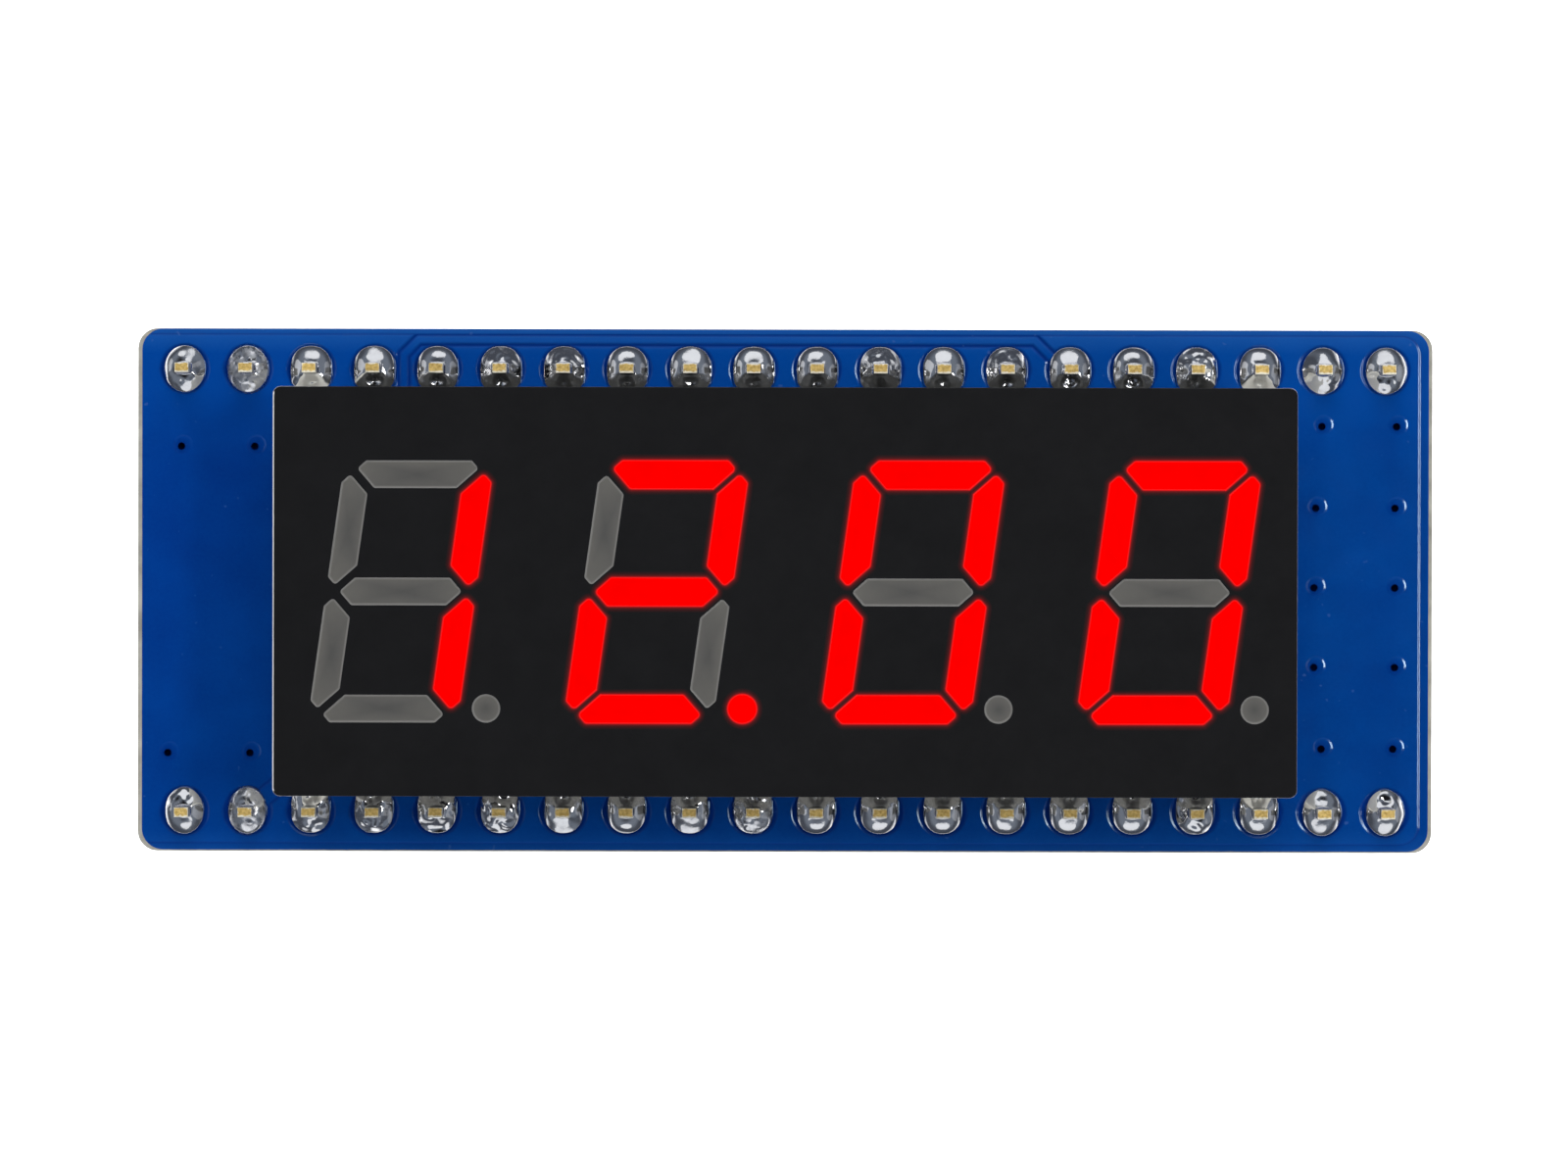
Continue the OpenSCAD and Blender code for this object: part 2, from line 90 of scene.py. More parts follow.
def srgb(*values):
    """Linear colour of an 8-bit screen colour."""
    linear = [(v / 255 / 12.92) if v <= 10 else ((v / 255 + 0.055) / 1.055) ** 2.4 for v in values]
    return (*linear, 1.0)


class Paint:
    """Procedural material whose textures are laid out in millimetres of the part."""

    def __init__(self, name, **values):
        self.material = bpy.data.materials.new(name)
        self.material.use_nodes = True
        self.tree = self.material.node_tree
        self.shader = self.tree.nodes["Principled BSDF"]
        for socket, value in values.items():
            self.shader.inputs[socket.replace("_", " ")].default_value = value
        place = self.add("ShaderNodeTexCoord").outputs["Object"]
        scaled = self.add("ShaderNodeVectorMath", [place], operation="SCALE")
        scaled.inputs["Scale"].default_value = 1 / MM
        self.place = scaled.outputs["Vector"]

    def add(self, kind, inputs=(), **settings):
        node = self.tree.nodes.new(kind)
        for key, value in settings.items():
            setattr(node, key, value)
        for i, value in enumerate(inputs):
            self.feed(node.inputs[i], value)
        return node

    def feed(self, socket, value):
        if isinstance(value, bpy.types.NodeSocket):
            self.tree.links.new(value, socket)
        elif value is not None:
            socket.default_value = value

    def noise(self, size, detail=3.0, roughness=0.55, stretch=(1, 1, 1)):
        """Noise with features of about that size in millimetres."""
        scale = [s / size for s in stretch]
        place = self.add("ShaderNodeVectorMath", [self.place, scale], operation="MULTIPLY")
        texture = self.add("ShaderNodeTexNoise")
        self.feed(texture.inputs["Vector"], place.outputs["Vector"])
        texture.inputs["Scale"].default_value = 1.0
        texture.inputs["Detail"].default_value = detail
        texture.inputs["Roughness"].default_value = roughness
        return texture.outputs["Fac"]

    def attribute(self, name):
        return self.add("ShaderNodeAttribute", attribute_name=name).outputs["Fac"]

    def span(self, value, low, high, to_low=0.0, to_high=1.0):
        """Value moved from one range to another and kept inside it."""
        return self.add("ShaderNodeMapRange", [value, low, high, to_low, to_high]).outputs["Result"]

    def spread(self, value, to_low=0.0, to_high=1.0):
        """Noise moved to another range from the one that most of it lies in."""
        return self.span(value, *NOISE_RANGE, to_low, to_high)

    def math(self, operation, a, b):
        return self.add("ShaderNodeMath", [a, b], operation=operation).outputs["Value"]

    def mix(self, share, a, b):
        node = self.add("ShaderNodeMix", data_type="RGBA")
        for socket, value in zip((node.inputs[0], node.inputs[6], node.inputs[7]), (share, a, b)):
            self.feed(socket, value)
        return node.outputs[2]

    def into(self, socket, value):
        self.feed(self.shader.inputs[socket], value)
        return self

    def bump(self, height, depth):
        """Fine relief of that depth in millimetres."""
        node = self.add("ShaderNodeBump")
        node.inputs["Strength"].default_value = 1.0
        node.inputs["Distance"].default_value = depth * MM
        self.feed(node.inputs["Height"], height)
        return self.into("Normal", node.outputs["Normal"])


# Where the tone of the mask changes: along X - Y, along Y, and in from the long edges; the change along Y
# and at the top edge is painted light from above
DRIFT, TOP_LIGHT_FADE, TOP_LIGHT_RIM, LOWER_RIM = (-27, -5), (4.8, 8.0), 1.0, 0.9


def paint_mask():
    """Glossy blue mask, lighter on copper than in the grooves between it, and painted lighter towards the
    top as light from above.
    """
    p = Paint("board_mask", IOR=1.5, Specular_IOR_Level=0.5, Specular_Tint=(0.65, 0.88, 1.0, 1.0))
    copper = p.attribute("copper")
    cloud = p.noise(2.6, 4)
    groove = p.mix(cloud, srgb(0, 38, 111), srgb(0, 44, 121))
    place = p.add("ShaderNodeSeparateXYZ", [p.place]).outputs
    left = p.mix(p.spread(cloud), srgb(0, 47, 125), srgb(0, 55, 136))
    right = p.mix(p.spread(cloud), srgb(0, 54, 127), srgb(0, 62, 138))
    pour = p.mix(p.span(p.math("SUBTRACT", place["X"], place["Y"]), *DRIFT), left, right)
    # Painted light: the pour is painted lighter towards the top, as if lit from above
    pour = p.mix(p.span(place["Y"], *TOP_LIGHT_FADE, 0.0, 0.6), pour, srgb(0, 68, 152))
    # Painted light: the last millimetre at the top edge is painted lighter still
    upper = p.span(place["Y"], BOARD_W / 2 - TOP_LIGHT_RIM, BOARD_W / 2, 0.0, 0.9)
    lower = p.span(place["Y"], -BOARD_W / 2, LOWER_RIM - BOARD_W / 2, 0.4, 0.0)
    grain = p.spread(p.noise(0.14, 2), 0.0, 0.09)
    pour = p.mix(p.math("ADD", p.math("ADD", upper, lower), grain), pour, srgb(26, 84, 160))
    speck = p.span(p.noise(0.35, 1), 0.74, 0.8, 0.0, 0.35)
    p.into("Base Color", p.mix(speck, p.mix(copper, groove, pour), srgb(70, 100, 160)))
    p.into("Roughness", p.spread(p.noise(0.9, 3), 0.1, 0.16))
    return p.bump(p.math("ADD", p.noise(0.12, 2), p.noise(0.6, 2)), 0.0012).material


def paint_laminate():
    """Cut edge of the board, with its layers of glass."""
    p = Paint("board_laminate", IOR=1.5)
    weave = p.noise(0.35, 4, stretch=(0.35, 0.35, 4))
    p.into("Base Color", p.mix(p.spread(weave), srgb(130, 128, 118), srgb(174, 171, 160)))
    p.into("Roughness", p.spread(weave, 0.55, 0.8))
    return p.bump(weave, 0.02).material


def paint_solder():
    """Bright solder with dull patches where frost is high."""
    p = Paint("solder", Metallic=1.0)
    frost = p.attribute("frost")
    patch = p.noise(0.3, 4)
    dull = p.math("MULTIPLY", frost, p.span(patch, 0.35, 0.6))
    p.into("Base Color", p.mix(dull, srgb(206, 206, 207), srgb(178, 179, 183)))
    p.into("Roughness", p.math("ADD", p.spread(patch, 0.035, 0.1), p.math("MULTIPLY", dull, 0.35)))
    return p.bump(p.noise(0.09, 3), 0.002).material


def paint_metal(name, low, high, roughness, grain, depth, stretch=(1, 1, 1)):
    """Plated metal with slight clouds."""
    p = Paint(name, Metallic=1.0)
    cloud = p.noise(grain, 4, stretch=stretch)
    p.into("Base Color", p.mix(p.spread(cloud), low, high))
    p.into("Roughness", p.spread(cloud, roughness * 0.75, roughness * 1.3))
    return p.bump(p.noise(grain / 3, 3, stretch=stretch), depth).material


# Bare part of a tail's cut end: how far below its top, and its reach along Y; the top beyond that reach gets
# a painted reflection, widest on the -Y side
CUT_DEPTH, CUT_BLUR, LEVEL_FACES = 0.05, 0.02, (0.93, 0.98)
BARE_HIGH, BARE_LOW, BARE_BLUR = 0.18, -0.14, 0.03


def paint_contact():
    """Tin-plated brass, bare only on the cut end of a tail, with a pale painted reflection round the bare
    part.
    """
    p = Paint("contact_brass")
    grain = p.noise(0.12, 4)
    tone = p.spread(grain)
    normal = p.add("ShaderNodeNewGeometry").outputs["Normal"]
    facing = p.add("ShaderNodeSeparateXYZ", [normal]).outputs["Z"]
    place = p.add("ShaderNodeSeparateXYZ", [p.place]).outputs
    ragged = p.spread(p.noise(0.14, 3), -0.04, 0.04)
    column = p.math("SUBTRACT", p.math("FLOORED_MODULO", place["X"], PITCH), PITCH / 2)
    across = p.math("ADD", p.math("ABSOLUTE", column, None), ragged)
    middle = p.math("MULTIPLY", p.math("SIGN", place["Y"], None), ROW_Y)
    along = p.math("ADD", p.math("SUBTRACT", place["Y"], middle), ragged)
    near_top = p.span(place["Z"], TAIL_TOP - CUT_DEPTH, TAIL_TOP - CUT_DEPTH + CUT_BLUR)
    top = p.math("MULTIPLY", p.span(facing, *LEVEL_FACES), near_top)
    bare = p.math("MULTIPLY", top, p.span(across, TAIL_HALF_L - BARE_BLUR, TAIL_HALF_L, 1.0, 0.0))
    bare = p.math("MULTIPLY", bare, p.span(along, BARE_HIGH - BARE_BLUR, BARE_HIGH, 1.0, 0.0))
    bare = p.math("MULTIPLY", bare, p.span(along, BARE_LOW, BARE_LOW + BARE_BLUR))
    brass = p.mix(tone, srgb(174, 141, 71), srgb(232, 203, 126))
    tin = p.mix(tone, srgb(150, 149, 145), srgb(186, 184, 178))
    # Painted reflection: the top of a tail outside the bare brass is painted pale, as light from below
    # mirrored at its edge
    painted_reflection_rim = p.mix(tone, srgb(214, 206, 182), srgb(246, 240, 222))
    p.into("Base Color", p.mix(bare, p.mix(top, tin, painted_reflection_rim), brass))
    p.into("Metallic", p.span(top, 0.0, 1.0, 1.0, 0.35))
    p.into("Roughness", p.spread(grain, 0.45, 0.65))
    return p.bump(p.noise(0.06, 3), 0.012).material


def paint_plain(name, low, high, roughness, grain, depth, **values):
    """Moulded or fired material with slight clouds and a fine grain."""
    p = Paint(name, **values)
    p.into("Base Color", p.mix(p.spread(p.noise(grain * 8, 3)), low, high))
    p.into("Roughness", p.spread(p.noise(grain * 3, 3), roughness * 0.85, roughness * 1.15))
    return p.bump(p.noise(grain, 2), depth).material


def paint_housing():
    """Face of the display: white plastic under black print, reddened where glow is high."""
    p = Paint("housing_plastic", IOR=1.46, Specular_IOR_Level=0.08)
    p.shader.inputs["Emission Color"].default_value = (1.0, 0.0, 0.0, 1.0)
    plastic = p.mix(p.spread(p.noise(3, 3)), srgb(224, 223, 218), srgb(240, 239, 236))
    black = p.mix(p.spread(p.noise(1.5, 4)), srgb(21, 21, 22), srgb(24, 24, 25))
    p.into("Base Color", p.mix(p.attribute("ink"), plastic, black))
    p.into("Emission Strength", p.attribute("glow"))
    p.into("Roughness", p.spread(p.noise(0.4, 3), 0.55, 0.7))
    return p.bump(p.noise(0.1, 2), 0.002).material


def paint_wall():
    """Side walls of the housing: white plastic, printed black along the long sides, painted paler at the
    foot as light from the front, most on the -Y side.
    """
    p = Paint("housing_wall", IOR=1.46)
    ink = p.attribute("ink")
    plastic = p.mix(p.spread(p.noise(4, 3)), srgb(233, 229, 214), srgb(242, 239, 227))
    black = p.mix(p.spread(p.noise(1.5, 4)), srgb(46, 46, 45), srgb(51, 51, 49))
    p.into("Base Color", p.mix(ink, plastic, black))
    uneven = p.spread(p.noise(0.6, 3), -0.04, 0.04)
    p.into("Roughness", p.math("ADD", p.span(ink, 0.0, 1.0, 0.5, 0.2), uneven))
    return p.bump(p.noise(0.12, 2), 0.0015).material


def paint_bar(name, middle, end, rim):
    """Unlit bar, lighter to its ends, with a painted highlight at its rim."""
    p = Paint(name, IOR=1.46, Specular_IOR_Level=0.25)
    shade = p.math("ADD", p.attribute("fade"), p.spread(p.noise(1.2, 3), -0.15, 0.15))
    p.into("Base Color", p.mix(p.attribute("rim"), p.mix(shade, srgb(*middle), srgb(*end)), srgb(*rim)))
    p.into("Roughness", p.spread(p.noise(0.5, 3), 0.42, 0.58))
    return p.bump(p.noise(0.15, 2), 0.002).material


def paint_lit():
    """Lit bar."""
    p = Paint("segment_lit", Emission_Strength=1.0, Roughness=0.6, Specular_IOR_Level=0.0)
    cloud = p.spread(p.noise(1.0, 2))
    p.into("Emission Color", p.mix(cloud, (0.97, 0.0, 0.0, 1), (1.0, 0.0, 0.0, 1)))
    p.into("Base Color", p.mix(cloud, srgb(40, 0, 0), srgb(60, 0, 0)))
    return p.bump(p.noise(0.15, 2), 0.002).material


MASK = paint_mask()
LAMINATE = paint_laminate()
SOLDER = paint_solder()
HOUSING = paint_housing()
WALL_PRINT = paint_wall()
# Middle, end and painted rim highlight of the unlit bars
DARK_BAR = paint_bar("segment_dark", (75, 74, 72), (93, 91, 86), (114, 112, 108))
LIT_BAR = paint_lit()
BRASS = paint_contact()
TINNED = paint_metal("tinned_lead", srgb(172, 173, 176), srgb(205, 205, 207), 0.3, 0.25, 0.004)
SOCKET = paint_plain("socket_plastic", srgb(17, 17, 18), srgb(23, 23, 24), 0.4, 0.16, 0.006,
                     Specular_IOR_Level=0.35)
RESIN = paint_plain("chip_resin", srgb(26, 26, 27), srgb(36, 36, 37), 0.55, 0.06, 0.008)
GLAZE = paint_plain("resistor_glaze", srgb(14, 14, 16), srgb(24, 24, 26), 0.25, 0.1, 0.003)
CERAMIC = paint_plain("capacitor_ceramic", srgb(142, 110, 78), srgb(164, 130, 94), 0.45, 0.08, 0.004)
POTTING = paint_plain("potting_resin", srgb(214, 208, 190), srgb(230, 226, 212), 0.4, 0.3, 0.01)
DIE = paint_plain("led_die", srgb(190, 150, 60), srgb(214, 178, 92), 0.35, 0.08, 0.002)


# Mesh building


class Shape:
    """Vertices in millimetres, faces with a material index, and named values for each vertex."""

    def __init__(self):
        self.points, self.faces, self.slots, self.values = [], [], [], {}

    def vertex(self, x, y, z, **values):
        for name, value in values.items():
            self.values.setdefault(name, {})[len(self.points)] = value
        self.points.append((x * MM, y * MM, z * MM))
        return len(self.points) - 1

    def face(self, corners, slot=0):
        self.faces.append(tuple(corners))
        self.slots.append(slot)

    def ring(self, loop, z, **values):
        return [self.vertex(x, y, z, **values) for x, y in loop]

    def band(self, low, high, slot=0):
        """Wall between two rings; it faces outwards when they run anticlockwise and high is above."""
        n = len(low)
        for i in range(n):
            j = (i + 1) % n
            self.face((low[i], low[j], high[j], high[i]), slot)

    def build(self, name, materials, slot, stands_for, smooth=False):
        mesh = bpy.data.meshes.new(name)
        mesh.from_pydata(self.points, [], self.faces)
        for material in materials:
            mesh.materials.append(material)
        mesh.polygons.foreach_set("material_index", self.slots)
        mesh.polygons.foreach_set("use_smooth", [smooth] * len(self.faces))
        for value_name, values in self.values.items():
            layer = mesh.attributes.new(value_name, "FLOAT", "POINT")
            layer.data.foreach_set("value", [values.get(i, 0.0) for i in range(len(self.points))])
        piece = bpy.data.objects.new(name, mesh)
        bpy.context.scene.collection.objects.link(piece)
        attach(piece, "root")
        if stands_for:
            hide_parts(*stands_for)
        return piece


def fill(loops, keep, extra=()):
    """Triangles between closed loops and extra points, where keep is true at their middles."""
    points, edges = [Vector(p) for p in extra], []
    for loop in loops:
        first = len(points)
        points += [Vector(p) for p in loop]
        edges += [(first + i, first + (i + 1) % len(loop)) for i in range(len(loop))]
    points, _, faces = geometry.delaunay_2d_cdt(points, edges, [], 0, 1e-5)[:3]
    kept = []
    for face in faces:
        middle = sum((points[i] for i in face), Vector((0, 0))) / len(face)
        if keep(middle.x, middle.y):
            kept.append(face)
    used = sorted({i for face in kept for i in face})
    place = {old: new for new, old in enumerate(used)}
    return [points[i] for i in used], [[place[i] for i in face] for face in kept]


def spread_points(length, width, step):
    """Points about that far apart over a rectangle, so that no triangle in it is long."""
    columns, rows = round(length / step), round(width / step)
    return [((i / columns - 0.5) * length, (j / rows - 0.5) * width)
            for i in range(columns + 1) for j in range(rows + 1)]


def circle(x, y, r, steps=32):
    turns = [2 * math.pi * i / steps for i in range(steps)]
    return [(x + r * math.cos(a), y + r * math.sin(a)) for a in turns]


def rounded(corners, r, steps=5):
    """Anticlockwise loop through convex corners, each rounded with radius r."""
    loop = []
    for i, here in enumerate(corners):
        p = Vector(here)
        u = (Vector(corners[i - 1]) - p).normalized()
        v = (Vector(corners[(i + 1) % len(corners)]) - p).normalized()
        half = u.angle(v) / 2
        middle = p + (u + v).normalized() * r / math.sin(half)
        first = p + u * r / math.tan(half) - middle
        sweep = math.pi - 2 * half
        for k in range(steps + 1):
            a = sweep * k / steps
            loop.append((middle.x + first.x * math.cos(a) - first.y * math.sin(a),
                         middle.y + first.x * math.sin(a) + first.y * math.cos(a)))
    return loop


def inset(corners, d):
    """Corners of a convex outline moved inwards by d."""
    moved = []
    for i, here in enumerate(corners):
        p = Vector(here)
        u = (Vector(corners[i - 1]) - p).normalized()
        v = (Vector(corners[(i + 1) % len(corners)]) - p).normalized()
        moved.append(tuple(p + (u + v).normalized() * d / math.sin(u.angle(v) / 2)))
    return moved


def rectangle(left, right, bottom, top):
    return [(right, top), (left, top), (left, bottom), (right, bottom)]


def box_of(loop):
    return min(x for x, _ in loop), max(x for x, _ in loop), min(y for _, y in loop), max(y for _, y in loop)


def inside(loop, x, y):
    odd = False
    for i, (x1, y1) in enumerate(loop):
        x0, y0 = loop[i - 1]
        if (y0 > y) != (y1 > y) and x < x0 + (y - y0) * (x1 - x0) / (y1 - y0):
            odd = not odd
    return odd


# Board: laminate with a mask that shows the relief of the copper under it

COPPER_T = 0.025
EDGE_SOFT = 0.074
OFFSETS = (-EDGE_SOFT, -EDGE_SOFT / 3, EDGE_SOFT / 3, EDGE_SOFT)
CLEAR_R = 0.99
TRACE_R, TRACE_CLEAR = 0.145, 0.14
TRACE = [(-15.33, 7.6), (-15.33, 9.45), (-14.72, 10.06), (10.02, 10.06), (11.16, 8.92)]
FEED_R, FEED_CLEAR = 0.32, 0.09
FEED = [(-21.59, -8.89), (-19.6, -7.2)]
POUR = (-26.4, 25.48, -10.16, 10.25, 0.75)
MASK_EDGE = (-25.84, 25.86, -10.45, 10.49, 0.85)
LAND_R, LAND_T, LAND_SHIFT = 0.36, 0.02, 0.07
EDGE_TONE, EDGE_FADE, VIA_TONE, VIA_FADE = 0.93, 0.1, 0.3, 0.3
HOLE_SLACK, PLUG_DEPTH, BACK_GRID, SLOPE_STEP = 0.99, 0.6, 0.4, 0.004
WAY_DRIFT, BEND_Y, STUB_Y, STUB_STEP = 0.3, 4.2, 3.9, 0.18
RESISTOR_Y, FAN_Y, FAN_STEP = 0.6, 2.4, 0.1
BACK_R, BACK_PAD_R = 0.14, 0.95


def box_distance(x, y, left, right, bottom, top, r):
    dx = abs(x - (left + right) / 2) - (right - left) / 2 + r
    dy = abs(y - (bottom + top) / 2) - (top - bottom) / 2 + r
    return math.hypot(max(dx, 0), max(dy, 0)) + min(max(dx, dy), 0) - r


def path_distance(x, y, path):
    best = math.inf
    for (x0, y0), (x1, y1) in zip(path, path[1:]):
        dx, dy = x1 - x0, y1 - y0
        t = max(0.0, min(1.0, ((x - x0) * dx + (y - y0) * dy) / (dx * dx + dy * dy)))
        best = min(best, math.hypot(x - x0 - t * dx, y - y0 - t * dy))
    return best


def path_loop(path, r, steps=8):
    """Outline at distance r round a path, with round ends and bends."""
    loop = []
    there_and_back = list(path) + list(path[-2:0:-1])
    n = len(there_and_back)
    for i in range(n):
        here = Vector(there_and_back[i])
        before = (here - Vector(there_and_back[i - 1])).normalized()
        after = (Vector(there_and_back[(i + 1) % n]) - here).normalized()
        turn = math.atan2(before.x * after.y - before.y * after.x, before.dot(after))
        if turn < 0:
            side = (Vector((before.y, -before.x)) + Vector((after.y, -after.x))).normalized()
            loop.append(tuple(here + side * r / math.cos(turn / 2)))
            continue
        if here in (Vector(path[0]), Vector(path[-1])) and before.dot(after) < -0.99:
            turn = math.pi
        start = Vector((before.y, -before.x)) * r
        for k in range(steps + 1):
            a = turn * k / steps
            loop.append((here.x + start.x * math.cos(a) - start.y * math.sin(a),
                         here.y + start.x * math.sin(a) + start.y * math.cos(a)))
    return loop


def front_copper(x, y):
    """Signed distance to the copper of the front, below zero on it."""
    nearest = max(0, min(WAYS - 1, round(x / PITCH + (WAYS - 1) / 2)))
    gap = math.hypot(x - way_x(nearest), abs(y) - ROW_Y) - CLEAR_R
    trace, feed = path_distance(x, y, TRACE), path_distance(x, y, FEED)
    gap = min(gap, trace - TRACE_R - TRACE_CLEAR, feed - FEED_R - FEED_CLEAR)
    pour = box_distance(x, y, *POUR)
    return min(max(pour, -gap), trace - TRACE_R, max(feed - FEED_R, pour))


def front_loops():
    loops = []
    for d in OFFSETS:
        for side in (-1, 1):
            loops += [circle(way_x(i), side * ROW_Y, CLEAR_R + d, 44) for i in range(WAYS)]
        loops += [path_loop(TRACE, TRACE_R + d), path_loop(TRACE, TRACE_R + TRACE_CLEAR + d)]
        loops += [path_loop(FEED, FEED_R + d), path_loop(FEED, FEED_R + FEED_CLEAR + d)]
        left, right, bottom, top, r = POUR
        loops.append(rounded(rectangle(left - d, right + d, bottom - d, top + d), r + d, 8))
        loops += [circle(x + LAND_SHIFT, y + LAND_SHIFT, LAND_R + d, 28) for x, y in VIAS]
    return loops


def back_paths():
    """Tracks of the hidden side: from the chips' leads to the rows, and between pins."""
    paths = []
    for side in (-1, 1):
        for end in (-1, 1):
            for i in range(CHIP_LEADS):
                x = lead_x(end, i)
                way = min((way_x(k) for k in range(WAYS)), key=lambda w: abs(w - x + WAY_DRIFT * end))
                if i % 2:
                    rise = abs(way - x)
                    paths.append([(x, side * LEAD_Y), (x, side * BEND_Y), (way, side * (BEND_Y + rise)),
                                  (way, side * ROW_Y)])
                else:
                    paths.append([(x, side * LEAD_Y), (x, side * (STUB_Y + STUB_STEP * i))])
        for i in range(RESISTORS):
            x = resistor_x(i)
            pin = pin_x(min(ROW_PINS - 1, round(i * (ROW_PINS - 1) / (RESISTORS - 1))))
            fan, bend = FAN_Y + FAN_STEP * i, abs(pin - x)
            paths.append([(x, side * RESISTOR_Y), (x, side * fan), (pin, side * (fan + bend)),
                          (pin, side * PIN_Y)])
    return paths


BACK_PATHS = back_paths()
BACK_PADS = [(pin_x(i), side * PIN_Y, BACK_PAD_R) for i in range(ROW_PINS) for side in (-1, 1)]


def back_copper(x, y):
    near = min(math.hypot(x - px, y - py) - r for px, py, r in BACK_PADS)
    for path in BACK_PATHS:
        if min(p[0] for p in path) - 1 < x < max(p[0] for p in path) + 1:
            near = min(near, path_distance(x, y, path) - BACK_R)
    return near


def back_loops():
    loops = []
    for d in OFFSETS:
        loops += [path_loop(path, BACK_R + d, 4) for path in BACK_PATHS]
        loops += [circle(x, y, r + d, 28) for x, y, r in BACK_PADS]
    return loops


def eased(t):
    t = max(0.0, min(1.0, t))
    return t * t * (3 - 2 * t)


def on_copper(distance):
    return eased(0.5 - distance / (2 * EDGE_SOFT))


def front_level(x, y):
    level = COPPER_T * on_copper(front_copper(x, y))
    for vx, vy in VIAS:
        if abs(x - vx) < 1 and abs(y - vy) < 1:
            level += LAND_T * on_copper(math.hypot(x - vx - LAND_SHIFT, y - vy - LAND_SHIFT) - LAND_R)
    return level


def back_level(x, y):
    return COPPER_T * on_copper(back_copper(x, y))


def make_board():
    """Board whose two faces carry the relief of their copper."""
    shape = Shape()
    corners = rectangle(-BOARD_L / 2, BOARD_L / 2, -BOARD_W / 2, BOARD_W / 2)
    outline = rounded(corners, BOARD_R, 10)
    holes = [(way_x(i), side * ROW_Y, TAIL_HOLE_R) for i in range(WAYS) for side in (-1, 1)]
    holes += [(pin_x(i), side * PIN_Y, PIN_HOLE_R) for i in range(ROW_PINS) for side in (-1, 1)]
    holes += [(x, y, VIA_R) for x, y in VIAS]
    rims = [circle(x, y, r, 24) for x, y, r in holes]

    def in_board(x, y):
        if box_distance(x, y, -BOARD_L / 2, BOARD_L / 2, -BOARD_W / 2, BOARD_W / 2, BOARD_R) > 0:
            return False
        return all(math.hypot(x - hx, y - hy) > r * HOLE_SLACK for hx, hy, r in holes)

    left, right, bottom, top, r = MASK_EDGE
    mask_loop = rounded(rectangle(left, right, bottom, top), r, 10)
    normals = []
    front, back = (1, Z_FRONT, front_level, front_loops()), (-1, Z_BACK, back_level, back_loops())
    for side, z, level, loops in (front, back):
        grid = [] if side > 0 else spread_points(BOARD_L - 1, BOARD_W - 1, BACK_GRID)
        points, faces = fill([outline, mask_loop] + rims + loops, in_board, grid)
        first = len(shape.points)
        for p in points:
            height = level(p.x, p.y)
            copper = height / COPPER_T
            if side > 0:
                copper = max(copper, EDGE_TONE * eased(box_distance(p.x, p.y, *POUR) / EDGE_FADE))
                hole = min(math.hypot(p.x - vx, p.y - vy) for vx, vy in VIAS)
                copper = min(copper, VIA_TONE + (1 - VIA_TONE) * eased((hole - VIA_R) / VIA_FADE))
            shape.vertex(p.x, p.y, z + side * (height - COPPER_T), copper=copper)
            slope_x = (level(p.x + SLOPE_STEP, p.y) - level(p.x - SLOPE_STEP, p.y)) / (2 * SLOPE_STEP)
            slope_y = (level(p.x, p.y + SLOPE_STEP) - level(p.x, p.y - SLOPE_STEP)) / (2 * SLOPE_STEP)
            normals.append(Vector((-slope_x, -slope_y, side)).normalized())
        for face in faces:
            x = sum(points[i].x for i in face) / 3
            y = sum(points[i].y for i in face) / 3
            masked = box_distance(x, y, *MASK_EDGE) < 0
            shape.face([first + i for i in (face if side > 0 else reversed(face))], 0 if masked else 1)
    relief_faces = len(shape.faces)
    low, high = Z_BACK + COPPER_T, Z_FRONT - COPPER_T
    shape.band(shape.ring(outline, low), shape.ring(outline, high), 1)
    for (x, y, r), rim in zip(holes, rims):
        tops = [shape.vertex(px, py, Z_FRONT + front_level(px, py) - COPPER_T) for px, py in rim]
        feet = [shape.vertex(px, py, Z_BACK - back_level(px, py) + COPPER_T) for px, py in rim]
        shape.band(tops, feet, 0)
        if r == VIA_R:
            shape.face(shape.ring(rim, Z_FRONT - PLUG_DEPTH))
            shape.face(reversed(shape.ring(rim, Z_BACK + PLUG_DEPTH)))
    mesh = shape.build("board", [MASK, LAMINATE], "board_mask", ["circuit_board"], smooth=True).data
    corner_normals = [normals[v] if polygon.index < relief_faces else polygon.normal
                      for polygon in mesh.polygons for v in polygon.vertices]
    mesh.normals_split_custom_set(corner_normals)


make_board()


# Solder joints of the two rows, each with its own lumps

SPOKES, CREASE = 64, 0.9
RINGS = [1.0, 0.97, 0.945, 0.925, 0.915, 0.905] + [CREASE * (1 - k / 22) for k in range(23)]
JOINT_W = {"upper": 1.74, "lower": 1.63}
JOINT_OUT = {"upper": 0.97, "lower": 0.93}
JOINT_IN, BLUNT, ROUND = 0.88, 4, 2.25
END_OUT, END_IN, TAIL_POWER = 0.98, 1.02, 8
# Slopes in degrees of a dome, a cone and the rim of both
DOME_TOP, DOME_RISE, DOME_POWER, DOME_RUN = 16, 32, 1.3, 0.62
CONE_SLOPE, CONE_RISE, CONE_TIP, CONE_TIP_S = 37, 6, 20, 0.2
RIM_RISE, RIM_S = 26, 0.02
WICK_H, WICK_S = 0.14, 0.08
WAVES, SQUEEZE, LEAN = (2, 3, 5), 0.015, 0.03
STREAK, STREAK_X, STREAK_Y, INNER_FADE = 0.034, 5, 3.5, 0.4
HOLE_X2, HOLE_Y2, HOLE_AT = 0.05, 0.025, 0.5


